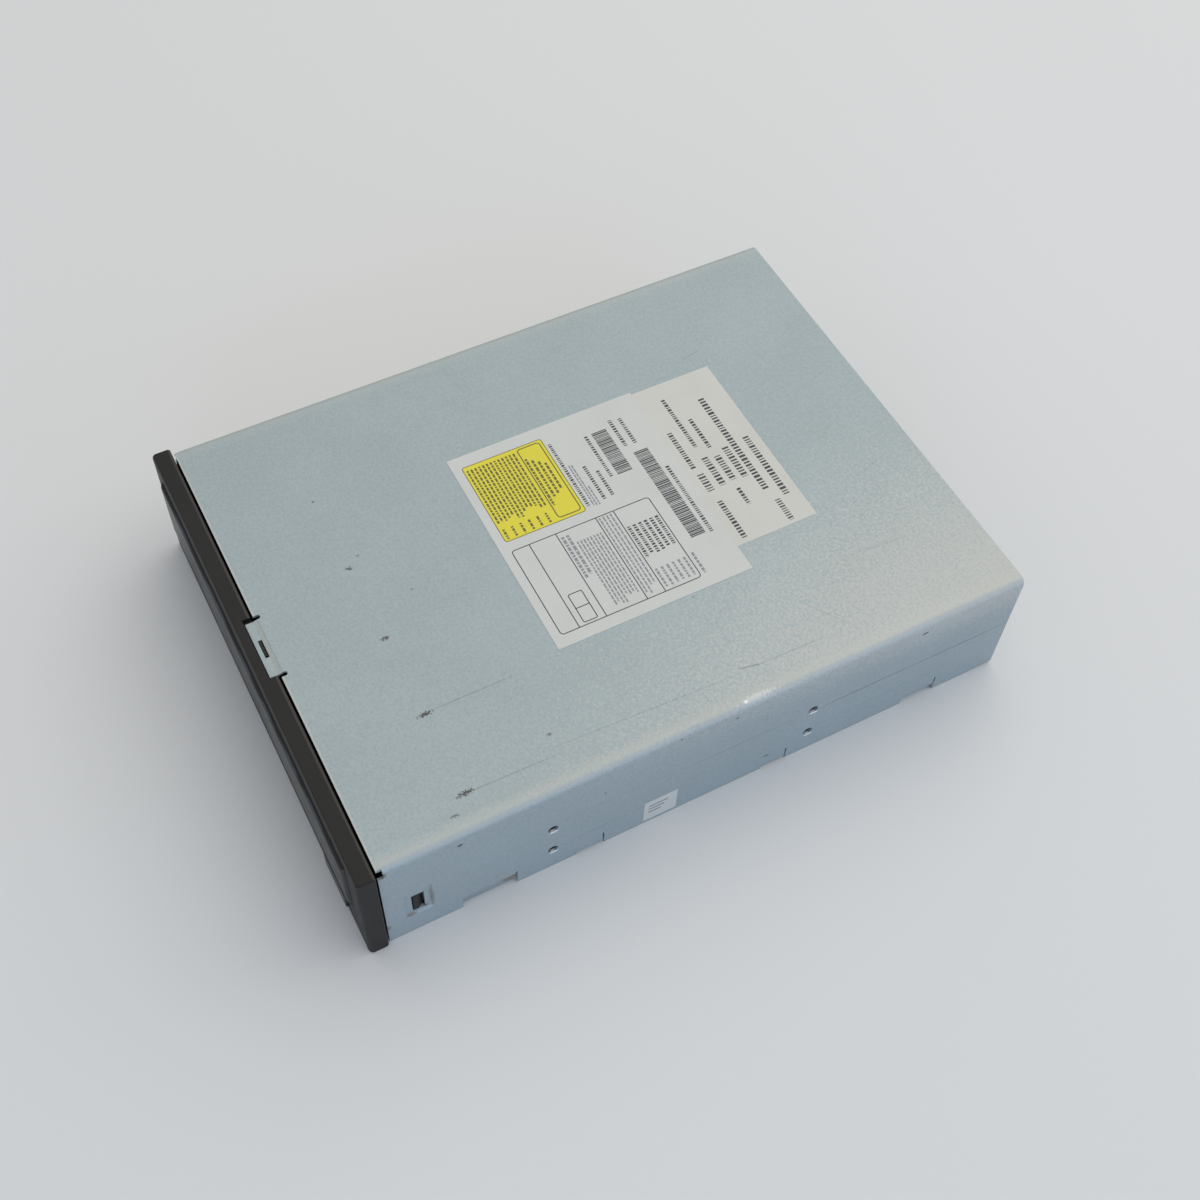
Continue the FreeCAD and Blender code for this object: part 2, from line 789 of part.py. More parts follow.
def switch_front_y():
    """Front of the eject switch's housing, behind the chassis's front wall."""
    return frame_front_y + frame_wall + 1.6


def light_pipe():
    """Clear window of the activity light, with a collar behind the bezel's face."""
    back = bezel_front_y + bezel_skin
    pipe = block(lamp_x - 1.5, lamp_x + 1.5, bezel_front_y - 0.1, frame_front_y - 0.4,
                 lamp_z - 0.8, lamp_z + 0.8)
    collar = block(lamp_x - 2.3, lamp_x + 2.3, back, back + 0.8, lamp_z - 1.6, lamp_z + 1.6)
    return joined(pipe, collar)


def tray_front():
    """Door of the tray: a thin moulded shell with rounded edges and inner ledges."""
    door = block(-door_half, door_half, door_front_y, door_back_y, door_low_z, door_high_z)
    door = rounded(door, 1.3, lambda middle, along: abs(middle.y - door_front_y) < 0.01)
    hollow = block(door_skin - door_half, door_half - door_skin, door_front_y + door_skin + 0.2,
                   0.0, door_low_z + door_skin, door_high_z - door_skin)
    ledges = []
    for x in door_peg_places():
        for z in door_ledge_heights():
            ledges.append(block(x - ledge_half, x + ledge_half, door_front_y + door_skin, door_back_y,
                                z, z + ledge_thick))
    return joined(cut(door, hollow), *ledges)


def door_peg_places():
    """Where the tray's pegs hold the door."""
    return (-peg_x, 0.0, peg_x)


def door_ledge_heights():
    """Undersides of the door's two ledges, above and below the pegs."""
    peg_low = tray_under_z + 0.6
    return (peg_low - ledge_thick - 0.1, peg_low + peg_thick + 1.4)


def tray():
    """Disc carrier with two recesses, its window, side runners and the rack under it."""
    plate = rounded_block(-tray_half, tray_half, tray_front_y, tray_rear_y, tray_under_z, tray_top_z, 1.5)
    recess = post(0, spindle_y, tray_floor_z, tray_top_z + 1, recess_radius)
    small = post(0, spindle_y, small_floor_z, tray_top_z, small_recess_radius)
    window = joined(post(0, spindle_y, 0, beyond, tray_window_half - 0.5),
                    block(-tray_window_half, tray_window_half, spindle_y, tray_window_rear_y, 0, beyond))
    grips = [post(side * grip_x, spindle_y - grip_back, tray_floor_z - 0.7, tray_top_z + 1, grip_radius)
             for side in (-1, 1)]
    runner = block(tray_half - 0.5, runner_half, frame_front_y + 1, tray_rear_y - 1, *runner_heights())
    wall = block(-tray_half, tray_half, door_back_y + 0.2, tray_front_y + 0.8,
                 tray_under_z - tray_wall_drop, tray_top_z + tray_wall_rise)
    pegs = []
    for x in door_peg_places():
        low = door_ledge_heights()[0] + ledge_thick + 0.1
        pegs.append(block(x - peg_half, x + peg_half, door_back_y - 1.8, door_back_y + 0.4,
                          low, low + peg_thick))
    body = cut(plate, recess, small, window, *grips, *core_pockets())
    return joined(body, wall, tray_rack(), *pegs, *on_both_sides(runner))


def runner_heights():
    """Underside and top of the tray's side runners."""
    return tray_under_z + 0.3, tray_under_z + 2.2


def core_pockets():
    """Pockets that core out the thick corners of the tray from below."""
    roof = tray_top_z - core_wall
    guard = post(0, spindle_y, 0, beyond, recess_radius + core_wall)
    rack_strip = block(rack_pitch_x() - 4.0, rack_pitch_x() + 4.0, 0, cover_depth, 0, beyond)
    pockets = []
    rear = tray_rear_y - core_wall
    for y0, y1 in ((tray_front_y + 2.2, spindle_y - core_front), (spindle_y + core_rear, rear)):
        for x0, x1 in ((core_wall - tray_half, -core_inner_x), (core_inner_x, tray_half - core_wall)):
            pockets.append(cut(block(x0, x1, y0, y1, tray_under_z - 1, roof), guard, rack_strip))
    half = core_inner_x - 2.0
    pockets.append(block(-half, half, spindle_y + disc_radius + 9.0, rear, tray_under_z - 1, roof))
    return pockets


def rack_pitch_x():
    """Pitch line of the tray's rack."""
    return gear_x - rack_module * pinion_teeth / 2.0


def tray_rack():
    """Rack that hangs along the tray's left side, its teeth facing right."""
    line = rack_pitch_x()
    first = -2
    outline = rack_outline(line, gear_y, first, rack_teeth, 1.0)
    back = line - 3.2
    points = [(x, y) for y, x in outline]
    start, end = points[0][1], points[-1][1]
    points.extend([(back, end), (back, start)])
    return upright(points, tray_under_z - rack_height, tray_under_z + 0.2)


def side_rail():
    """Right side wall of the loader chassis, with the ledges that guide the tray's runner."""
    low, high = runner_heights()
    under = low - gap_slide
    over = high + gap_slide
    ledge = guide_ledge
    outline = [
        (frame_half, front_deck_z),
        (frame_half, frame_top_z),
        (rail_half, frame_top_z),
        (rail_half, frame_top_z - deck),
        (frame_inner_half, frame_top_z - deck),
        (frame_inner_half, over + ledge),
        (rail_half, over + ledge),
        (rail_half, over),
        (frame_inner_half, over),
        (frame_inner_half, under),
        (rail_half, under),
        (rail_half, under - ledge),
        (frame_inner_half, under - ledge),
        (frame_inner_half, front_deck_z),
    ]
    return lengthwise(outline, frame_front_y, frame_rear_y)


def gusset(y):
    """Rib under the right rail's lower ledge."""
    low = rear_deck_top
    high = runner_heights()[0] - gap_slide - guide_ledge
    outline = [(frame_inner_half, low), (rail_half, high), (frame_inner_half, high)]
    return lengthwise(outline, y - rib_half, y + rib_half)


def hinge_lug():
    """Bearing lug for the chassis's right trunnion, open at the top to snap its bush in."""
    lug = block(bush_inner_x, bush_inner_x + bush_width, hinge_y - 5.6, hinge_y + 5.6,
                rear_deck_top - 0.2, hinge_z + 3.0)
    seat = bar_x(bush_inner_x - 1, bush_inner_x + bush_width + 1, hinge_y, hinge_z, bush_radius)
    mouth = block(bush_inner_x - 1, bush_inner_x + bush_width + 1, hinge_y - 2.9, hinge_y + 2.9,
                  hinge_z, hinge_z + 4)
    return cut(lug, seat, mouth)


def main_frame():
    """Moulded loader chassis: side rails, decks, gear posts, motor bridge and hinge lugs."""
    inner = frame_inner_half + 0.4
    wheel_room = post(gear_x, gear_y, front_deck_top, belt_z(), wheel_tip_radius + gap_body)
    front_wall = cut(block(-inner, inner, frame_front_y, frame_front_y + frame_wall, front_deck_z,
                           door_low_z - 1.2), wheel_room)
    front_deck = block(-inner, inner, frame_front_y, cam_front_y, front_deck_z, front_deck_top)
    step = block(-inner, inner, cam_front_y - deck, cam_front_y, cam_deck_z, front_deck_top)
    cam_deck = block(-inner, inner, cam_front_y - deck, cam_rear_y(), cam_deck_z, cam_deck_top)
    cam_sides = on_both_sides(block(cam_side_x, inner, cam_rear_y() - deck, cam_rear_y(), cam_deck_z,
                                    rear_deck_top))
    rear_deck = block(-inner, inner, cam_rear_y() - deck, frame_rear_y, rear_deck_z, rear_deck_top)
    rear_wall = block(-inner, inner, frame_rear_y - frame_wall, frame_rear_y, rear_deck_z,
                      tray_under_z + 6.0)
    swing_room = block(-chassis_half - 9, chassis_half + 9, cam_rear_y() - deck - 1,
                       hinge_y - 7.0, rear_deck_z - 1, rear_deck_top + 1)
    screw_room = block(screw_x - sled_motor_radius - 1.5, screw_x + sled_motor_radius + 1.5,
                       hinge_y - 8.0, hinge_y + 12.0, rear_deck_z - 1, rear_deck_top + 1)
    rib_places = [mount_first_y + rib_first + rib_pitch * number for number in range(rib_count)]
    rails = on_both_sides(side_rail(), hinge_lug(), *[gusset(y) for y in rib_places])
    feet = []
    foot_holes = []
    for x, y in frame_foot_places():
        feet.append(post(x, y, foot_z, rear_deck_top, frame_foot_radius))
        foot_holes.append(post(x, y, 0, rear_deck_top - 1, large_screw[0] + gap_screw))
    bosses = []
    for x, y in bridge_screw_places():
        ends = sorted((x - math.copysign(boss_inset, x), math.copysign(frame_half - 0.4, x)))
        bosses.append(block(*ends, y - boss_half, y + boss_half,
                            runner_heights()[1] + gap_slide + guide_ledge / 2.0, frame_top_z))
    body = joined(cut(joined(front_deck, step, cam_deck, rear_deck), swing_room, screw_room),
                  front_wall, rear_wall, *cam_sides, *rails, *feet, *bosses, *motor_bridge(), *gear_posts(),
                  *guide_posts())
    openings = [
        post(motor_x, motor_y, foot_z, front_deck_top + 1, motor_radius + gap_body),
        block(button_x - 5.0, button_x + 5.0, frame_front_y - 1, switch_front_y() + 5.5,
              front_deck_z - 1, button_z + 3.2),
        block(lamp_x - 2.4, lamp_x + 2.4, frame_front_y - 1, frame_front_y + 7.5,
              front_deck_z - 1, lamp_z + 2.2),
        bar_y(pinhole_x, frame_front_y - 1, frame_front_y + 3, lamp_z, pinhole_radius + 0.4),
        *[post(x, y, frame_top_z - 6, frame_top_z + 1, bridge_screw[0] + gap_screw)
          for x, y in bridge_screw_places()],
        *foot_holes,
    ]
    screw_room = [bar_x(frame_inner_half - 0.1, frame_half + 1, y, z, 2.4)
                  for y in mount_rows_y for z in (mount_low_z, mount_high_z)]
    return cut(body, *openings, *on_both_sides(*screw_room))


def cam_rear_y():
    """Rear of the cam slider's channel."""
    return chassis_front_y - 0.9


def motor_bridge():
    """Raised deck of the loader chassis that the loading motor hangs from."""
    low = front_board_top + 0.2 + motor_height
    half = motor_radius + 2.0
    y0, y1 = frame_front_y + 0.5, cam_front_y - 0.2
    plate = block(motor_x - half, motor_x + half, y0, y1, low, low + deck)
    hole = post(motor_x, motor_y, low - 1, low + deck + 1, 3.4)
    screws = [post(x, y, low - 1, low + deck + 1, motor_screw[0] + gap_slide)
              for x, y in motor_screw_places()]
    legs = [block(motor_x + side * half - 0.8, motor_x + side * half + 0.8, y0, y1,
                  front_deck_top - 0.2, low + deck) for side in (-1, 1)]
    return [cut(plate, hole, *screws), *legs]


def motor_screw_places():
    """Screws that hold the loading motor under its deck."""
    return [(motor_x - 6.0, motor_y), (motor_x + 6.0, motor_y)]


def train_places():
    """Axes of the pulley gear: centre distance set by the wheel and its pinion."""
    distance = wheel_module * (wheel_teeth + small_pinion_teeth) / 2.0
    return (gear_x + distance * math.cos(train_angle), gear_y + distance * math.sin(train_angle))


def gear_posts():
    """Posts of the drive gear and the pulley gear."""
    pulley_x, pulley_y = train_places()
    posts = [
        post(gear_x, gear_y, front_deck_top - 0.2, tray_under_z - 0.8, post_radius),
        post(pulley_x, pulley_y, front_deck_top - 0.2, belt_z() + 2.2, post_radius),
        post(gear_x, gear_y, front_deck_top - 0.2, front_deck_top + 0.2, 3.0),
        post(pulley_x, pulley_y, front_deck_top - 0.2, front_deck_top + 3.2, 3.0),
    ]
    return posts


def guide_posts():
    """Headed posts that guide the cam slider along its slots."""
    posts = []
    head = cam_deck_top + slider_thick + 0.5
    for x in guide_post_x:
        posts.append(post(x, cam_slot_y, cam_deck_top - 0.2, head + 0.8, guide_post_radius))
        posts.append(post(x, cam_slot_y, head, head + 0.8, guide_post_radius + 0.8))
    return posts


def belt_z():
    """Middle height of the belt."""
    return front_board_top + 0.2 + motor_height + deck + 1.7


def drive_gear():
    """Gear with three decks: cam pinion below, wheel in the middle, tray pinion on top."""
    wheel_low = front_deck_top + 3.6
    low = gear(rack_module, pinion_teeth, gear_x, gear_y, front_deck_top + 0.4, wheel_low + 0.1, math.pi)
    wheel = gear(wheel_module, wheel_teeth, gear_x, gear_y, wheel_low, wheel_low + 3.0, train_angle)
    neck = post(gear_x, gear_y, wheel_low + 2.9, belt_z() + 1.9, 2.9)
    top = gear(rack_module, pinion_teeth, gear_x, gear_y, belt_z() + 1.8, tray_under_z - 0.4, math.pi)
    bore = post(gear_x, gear_y, 0, beyond, post_radius + gap_run)
    return cut(joined(low, wheel, neck, top), bore)


def grooved_pulley(x, y, radius, z, rim):
    """Belt pulley with a square groove between two flanges."""
    half = belt_half + gap_trim
    core = post(x, y, z - half - rim, z + half + rim, radius + pulley_flange)
    outer = post(x, y, z - half, z + half, radius + pulley_flange + 1)
    inner = post(x, y, z - half - 1, z + half + 1, radius)
    return cut(core, outer.cut(inner))


def pulley_gear():
    """Large belt pulley with a small pinion under it."""
    x, y = train_places()
    wheel_low = front_deck_top + 3.6
    turned = train_angle + math.pi + math.pi / small_pinion_teeth
    pinion = gear(wheel_module, small_pinion_teeth, x, y, wheel_low - 0.2, belt_z() - 1.0, turned)
    pulley = grooved_pulley(x, y, pulley_radius, belt_z(), 0.4)
    bore = post(x, y, 0, beyond, post_radius + gap_run)
    holes = []
    for turn in range(4):
        angle = turn * math.pi / 2 + math.pi / 4
        hole_x, hole_y = x + 7.4 * math.cos(angle), y + 7.4 * math.sin(angle)
        holes.append(post(hole_x, hole_y, belt_z() - 3, belt_z() + 3, 1.9))
    return cut(joined(pinion, pulley), bore, *holes)


def motor_pulley():
    """Small pulley on the shaft of the loading motor."""
    pulley = grooved_pulley(motor_x, motor_y, motor_pulley_radius, belt_z(), 0.4)
    shaft = post(motor_x, motor_y, front_board_top + motor_height - 1.0, belt_z() + 1.6, 1.0)
    return joined(pulley, shaft)


def loading_belt():
    """Square rubber belt around both pulleys."""
    x, y = train_places()
    z0, z1 = belt_z() - belt_half, belt_z() + belt_half
    solids = []
    for extra in (belt_gap + belt_width, belt_gap):
        big, small = pulley_radius + extra, motor_pulley_radius + extra
        dx, dy = motor_x - x, motor_y - y
        distance = math.hypot(dx, dy)
        heading = math.atan2(dy, dx)
        opening = math.acos((big - small) / distance)
        tangents = []
        for side in (1, -1):
            angle = heading + side * opening
            tangents.append((x + big * math.cos(angle), y + big * math.sin(angle)))
            tangents.append((motor_x + small * math.cos(angle), motor_y + small * math.sin(angle)))
        run = upright([tangents[0], tangents[1], tangents[3], tangents[2]], z0, z1)
        solids.append(joined(post(x, y, z0, z1, big), post(motor_x, motor_y, z0, z1, small), run))
    return solids[0].cut(solids[1])


def loading_motor():
    """Flat round motor of the tray, with its end boss and terminals."""
    low = front_board_top + 0.2
    can = broken_rim(post(motor_x, motor_y, low, low + motor_height, motor_radius), low + motor_height, 0.8)
    boss = post(motor_x, motor_y, low + motor_height - 0.2, low + motor_height + 0.9, 3.0)
    well = post(motor_x, motor_y, low + motor_height - 1.4, low + motor_height + 2, 1.0 + gap_run)
    threads = [post(x, y, low + motor_height - 2.4, low + motor_height + 1, motor_screw[0] + gap_screw)
               for x, y in motor_screw_places()]
    return cut(joined(can, boss), well, *threads)


def cam_slider():
    """Sliding cam: base with guide slots, wall with slanted slots and a short rack."""
    base_low = cam_deck_top + 0.2
    base_top = base_low + slider_thick
    left, right = slider_left, slider_right
    front = cam_front_y + 0.5
    base = block(left, right, front, cam_wall_y, base_low, base_top)
    wall = block(cam_wall_left, cam_wall_right, cam_wall_y, cam_wall_y + cam_wall, base_low, follower_z + 3.0)
    trims = [
        upright([(left - 1, front + 8), (left + 8, cam_wall_y + 1), (left - 1, cam_wall_y + 1)], 0, beyond),
        upright([(right + 1, front + 4), (right - 6, cam_wall_y + 1), (right + 1, cam_wall_y + 1)],
                0, beyond),
        block(cam_wall_left - 4.0, cam_wall_left + 10.0, front + 4.5, cam_wall_y - 4.5, 0, beyond),
    ]
    slots = [slot_x(x - cam_travel, x, cam_slot_y, 0, beyond, guide_post_radius + gap_slide)
             for x in guide_post_x]
    tracks = [track for x in follower_x for track in cam_track(x)]
    rack_line = gear_y + rack_module * (pinion_teeth / 2.0 + 1.0) + gap_trim + rack_module
    outline = rack_outline(rack_line, gear_x, -6, 7, -1.0)
    back = rack_line + 2.4
    points = [*outline, (outline[-1][0], back), (outline[0][0], back)]
    rack = upright(points, base_top, base_top + 2.6)
    return cut(joined(base, wall, rack), *trims, *slots, *tracks)


def cam_track(x):
    """Slanted slot that carries one follower pin from its low dwell to its high dwell."""
    low = lowered_point(x, cam_wall_y + cam_wall / 2.0, follower_z)[2]
    high = follower_z
    radius = follower_radius + cam_gap
    y0, y1 = cam_wall_y - 0.6, cam_wall_y + cam_wall + 1
    stops = [(x + cam_dwell, low), (x, low), (x - cam_travel, high), (x - cam_travel - cam_dwell, high)]
    parts = []
    for (xa, za), (xb, zb) in zip(stops, stops[1:]):
        length = math.hypot(xb - xa, zb - za)
        nx, nz = -(zb - za) / length * radius, (xb - xa) / length * radius
        parts.append(lengthwise([(xa + nx, za + nz), (xb + nx, zb + nz),
                                 (xb - nx, zb - nz), (xa - nx, za - nz)], y0, y1))
    parts.extend([bar_y(px, y0, y1, pz, radius) for px, pz in stops])
    return parts


def traverse_frame():
    """Swinging chassis: a plate with raised edges, rail seats, trunnions and follower pins."""
    rear = hinge_y + 4.0
    plate = rounded_block(-chassis_half, chassis_half, chassis_front_y, rear, chassis_low_z,
                          chassis_top_z, 3.0)
    edge = block(chassis_half - 1.6, chassis_half, chassis_front_y + 4, rear - 4, chassis_top_z - 0.2,
                 chassis_top_z + 1.4)
    followers = []
    for x in follower_x:
        followers.append(block(x - 3.0, x + 3.0, chassis_front_y, chassis_front_y + 2.0,
                               chassis_low_z, follower_z + 2.0))
        followers.append(bar_y(x, cam_wall_y - 0.4, chassis_front_y + 0.5, follower_z, follower_radius))
    trunnion = bar_x(chassis_half - 2, bush_inner_x + bush_width + 0.3, hinge_y, hinge_z, trunnion_radius)
    motor_hole = post(0, spindle_y, 0, beyond, rotor_radius + 0.9)
    pickup_room = rounded_block(-rail_x - 3.5, screw_x + 3.2, window_front_y, window_rear_y, 0, beyond, 1.0)
    seats = [bar_y(x, window_front_y - 3.0, window_rear_y + 3.0, rail_z, rail_radius + gap_run)
             for x in (-rail_x, rail_x)]
    motor_seat = bar_y(screw_x, window_rear_y - 1, rear + 1, screw_z, sled_motor_radius + 0.1)
    tip_seat = bar_y(screw_x, window_front_y - 2.2, window_front_y + 1, screw_z, 0.8 + gap_run)
    clip_room = block(screw_x - 3.6, screw_x + 3.6, window_rear_y - 1, rear + 1, screw_z, beyond)
    windows = [slot_x(x - 3.0, x + 3.0, spindle_y - 2, 0, beyond, 3.2) for x in (-rail_x, rail_x)]
    holes = [post(x, y, 0, beyond, spindle_screw[0] + gap_screw) for x, y in spindle_screw_places()]
    body = joined(plate, *on_both_sides(edge, trunnion), *followers)
    return cut(body, motor_hole, pickup_room, *seats, motor_seat, tip_seat, clip_room, *windows, *holes)


def spindle_screw_places():
    """Screws that hold the spindle motor under the chassis."""
    places = []
    for angle in (math.radians(150), math.radians(30), math.radians(270)):
        places.append((spindle_screw_circle * math.cos(angle),
                       spindle_y + spindle_screw_circle * math.sin(angle) * 0.93))
    return places


def spindle_motor():
    """Fixed half of the spindle motor: base plate, bearing tube and stator."""
    base_low = chassis_low_z - 1.2
    base = post(0, spindle_y, base_low, chassis_low_z, spindle_base_radius)
    trims = [block(-20, 20, spindle_y + 15.2, spindle_y + 20, 0, beyond), *[
        post(x, y, 0, beyond, spindle_screw[0] + gap_screw) for x, y in spindle_screw_places()]]
    tube = post(0, spindle_y, chassis_low_z - 0.2, chassis_top_z + 3.0, 2.6)
    core = post(0, spindle_y, chassis_low_z + 1.0, chassis_top_z + 1.5, 10.4)
    slots = []
    for turn in range(9):
        angle = turn * 2 * math.pi / 9
        cutter = block(5.0, 11.0, -0.9, 0.9, chassis_low_z + 0.5, chassis_top_z + 2)
        cutter.rotate(V(0, 0, 0), V(0, 0, 1), math.degrees(angle))
        cutter.translate(V(0, spindle_y, 0))
        slots.append(cutter)
    pedestal = post(0, spindle_y, chassis_low_z - 0.2, chassis_low_z + 1.2, 5.2)
    bore = post(0, spindle_y, chassis_low_z - 0.4, beyond, 1.0 + 0.03)
    return cut(joined(cut(base, *trims), tube, cut(core, *slots), pedestal), bore)


def rotor_can():
    """Turning half of the spindle motor: open cup on its shaft."""
    top = chassis_top_z + 5.6
    cup = cut(post(0, spindle_y, chassis_low_z + 0.6, top, rotor_radius),
              post(0, spindle_y, chassis_low_z, top - 1.0, rotor_radius - 0.9))
    shaft = post(0, spindle_y, chassis_low_z - 0.2, seat_z - 0.2, 1.0)
    collar = post(0, spindle_y, chassis_top_z + 3.3, top, 2.6)
    return joined(cup, shaft, collar)


def turntable():
    """Disc seat with its centring cone."""
    low = chassis_top_z + 5.6
    hub = post(0, spindle_y, low, seat_z - 2.4, 6.0)
    seat = post(0, spindle_y, seat_z - 2.5, seat_z - 0.3, turntable_radius)
    groove = cut(post(0, spindle_y, seat_z - 0.8, seat_z + 1, turntable_radius - 0.8),
                 post(0, spindle_y, seat_z - 2, seat_z + 2, turntable_radius - 4.3))
    centre = cone(0, spindle_y, seat_z - 0.4, seat_z + cone_height, cone_radius, cone_radius - 2.2)
    dimple = cone(0, spindle_y, seat_z + 0.7, seat_z + cone_height + 0.01, 2.0, 3.0)
    bore = post(0, spindle_y, low - 1, seat_z - 0.2, 1.0)
    return cut(joined(hub, cut(seat, groove), centre), dimple, bore)


def turntable_ring():
    """Rubber ring that grips the disc, in the turntable's groove."""
    return cut(post(0, spindle_y, seat_z - 0.8, seat_z, turntable_radius - 0.85),
               post(0, spindle_y, seat_z - 2, seat_z + 1, turntable_radius - 4.25))


def guide_rail(x):
    """Polished rod that carries the pickup."""
    return bar_y(x, window_front_y - 2.8, window_rear_y + 2.8, rail_z, rail_radius)


def lead_screw():
    """Shaft of the sled motor that moves the pickup; its thread is left plain here."""
    shaft = bar_y(screw_x, window_front_y + 0.5, window_rear_y + 1.0, screw_z, screw_radius)
    tip = bar_y(screw_x, window_front_y - 1.9, window_front_y + 0.6, screw_z, 0.8)
    return joined(shaft, tip)


def sled_motor():
    """Stepping motor at the rear end of the lead screw."""
    body = bar_y(screw_x, window_rear_y + 0.3, window_rear_y + 12.0, screw_z, sled_motor_radius)
    bell = bar_y(screw_x, window_rear_y + 11.8, window_rear_y + 12.8, screw_z, 2.0)
    well = bar_y(screw_x, window_rear_y - 1, window_rear_y + 1.6, screw_z, screw_radius + gap_run)
    return cut(joined(body, bell), well)


def sled_y():
    """Front and rear of the pickup's body at its innermost place."""
    return lens_y - sled_front, lens_y + sled_rear


def pickup_body():
    """Die-cast sled of the pickup, bored for one rail and forked over the other."""
    front, rear = sled_y()
    low, top = rail_z - 2.6, chassis_top_z + 2.6
    body = block(-17.0, 18.0, front, rear, low, top)
    bearing = block(17.0, rail_x + 2.9, front, rear, rail_z - 2.7, rail_z + 2.7)
    arm = block(-rail_x - 2.4, -16.0, front + 4, rear - 4, rail_z - 2.5, rail_z + 2.5)
    notch = post(0, spindle_y, 0, beyond, rotor_radius + 1.6)
    bore = bar_y(rail_x, front - 1, rear + 1, rail_z, rail_radius + gap_run)
    waist = block(17.9, rail_x + 4, front + 5.0, rear - 5.0, rail_z - 4, rail_z + 4)
    bridge = block(17.0, rail_x - 2.2, front + 4, rear - 4, rail_z + 1.7, rail_z + 2.7)
    fork = block(-rail_x - 4, -rail_x + 1.6, front - 1, rear + 1, rail_z - rail_radius - 0.1,
                 rail_z + rail_radius + 0.1)
    well = rounded_block(-8.6, 8.6, lens_y - 5.2, lens_y + 8.6, top - 3.6, top + 1, 1.0)
    optic = bar_y(-10.0, front + 6, rear + 1, low + 2.6, 1.6)
    pockets = [block(-15.6, -10.4, front + 3, rear - 3, top - 1.6, top + 1),
               block(10.4, 15.6, front + 3, rear - 3, top - 1.6, top + 1)]
    body = cut(body, well, *pockets, optic)
    bearing = cut(bearing, waist)
    return cut(joined(body, bearing, bridge, arm), notch, bore, fork)


def lens_cover():
    """Thin stamped cover around the lens, on top of the pickup."""
    front, rear = sled_y()
    low = chassis_top_z + 2.6
    plate = rounded_block(-13.5, 13.5, front + 2.2, rear - 1.0, low, low + 0.4, 1.5)
    opening = rounded_block(-8.2, 8.2, lens_y - 5.0, lens_y + 8.2, low - 1, low + 1, 1.0)
    notch = post(0, spindle_y, 0, beyond, rotor_radius + 1.8)
    return cut(plate, opening, notch)


def lens_holder():
    """Moulded holder that carries the lens and its coils."""
    low = chassis_top_z - 0.4
    body = rounded_block(-7.4, 7.4, lens_y - 4.2, lens_y + 4.2, low, low + 5.6, 1.0)
    collar = post(0, lens_y, low + 5.4, low + 6.6, 3.3)
    seat = post(0, lens_y, low + 5.9, low + 8, 2.4 + gap_screw)
    light = post(0, lens_y, low - 1, low + 8, 1.7)
    return cut(joined(body, collar), seat, light)


def objective_lens():
    """Small domed lens."""
    low = chassis_top_z + 5.5
    disc = post(0, lens_y, low, low + 0.7, 2.4)
    dome = Part.makeSphere(3.4, V(0, lens_y, low + 0.7 - 2.6)).common(
        post(0, lens_y, low + 0.5, low + 3, 2.2))
    return joined(disc, dome)


def lead_nut():
    """Spring arm with teeth that rides on the lead screw."""
    front, rear = sled_y()
    y0, y1 = front + 5.2, rear - 5.2
    foot = block(rail_x - 2.0, screw_x, y0, y1, rail_z + 2.7, rail_z + 3.5)
    leg = block(screw_x - 0.2, screw_x + 2.6, y0 + 1, y1 - 1, screw_z + screw_radius + 0.1, rail_z + 3.5)
    return joined(foot, leg)


def clamp_bridge():
    """Steel bridge over the tray that holds the clamper."""
    half = frame_half - 0.6
    y0, y1 = spindle_y - bridge_half_depth, spindle_y + bridge_half_depth
    plate = rounded_block(-half, half, y0, y1, frame_top_z, bridge_top_z, 2.0)
    ribs = [block(-half + 9, half - 9, y, y + 1.0, bridge_top_z - 0.2, bridge_top_z + 3.0)
            for y in (y0, y1 - 1.0)]
    hole = post(0, spindle_y, 0, beyond, bridge_hole_radius)
    windows = []
    for side in (-1, 1):
        for x in bridge_windows_x:
            windows.append(slot_y(side * x, spindle_y - 6, spindle_y + 6, 0, beyond, 4.5))
    screws = [post(x, y, 0, beyond, bridge_screw[0] + gap_slide) for x, y in bridge_screw_places()]
    return cut(joined(plate, *ribs), hole, *windows, *screws)


def bridge_screw_places():
    """Where the clamp bridge is screwed to the side rails."""
    x = frame_inner_half - 1.2
    return [(side * x, spindle_y + way * bridge_screw_reach) for side in (-1, 1) for way in (-1, 1)]


def clamper():
    """Disc clamp that hangs in the bridge by its upper flange."""
    press = post(0, spindle_y, clamp_face_z, clamp_face_z + 1.5, clamper_radius)
    hub = post(0, spindle_y, clamp_face_z + 1.4, bridge_top_z + 1.2, clamper_hub_radius)
    flange = post(0, spindle_y, bridge_top_z + 0.3, bridge_top_z + 1.2, bridge_hole_radius + 1.9)
    centre = cone(0, spindle_y, clamp_face_z - 0.01, clamp_face_z + 1.6, cone_radius + 1.6, cone_radius)
    relief = cut(post(0, spindle_y, clamp_face_z - 1, clamp_face_z + 0.5, clamper_radius - 2.2),
                 post(0, spindle_y, clamp_face_z - 2, clamp_face_z + 1, cone_radius + cone_relief))
    pocket = post(0, spindle_y, magnet_z(), bridge_top_z + 3, magnet_radius + gap_screw)
    return cut(joined(press, hub, flange), centre, relief, pocket)


def magnet_z():
    """Underside of the clamp's magnet."""
    return clamp_face_z + 2.7


def clamp_magnet():
    """Ring magnet in the clamper."""
    return cut(post(0, spindle_y, magnet_z(), bridge_top_z + 0.9, magnet_radius),
               post(0, spindle_y, 0, beyond, 3.0))


def clamper_cap():
    """Steel yoke plate that closes the clamper."""
    low = bridge_top_z + 1.2
    cap = post(0, spindle_y, low, low + 0.8, bridge_hole_radius + 0.4)
    return broken_rim(cap, low + 0.8, 0.25)


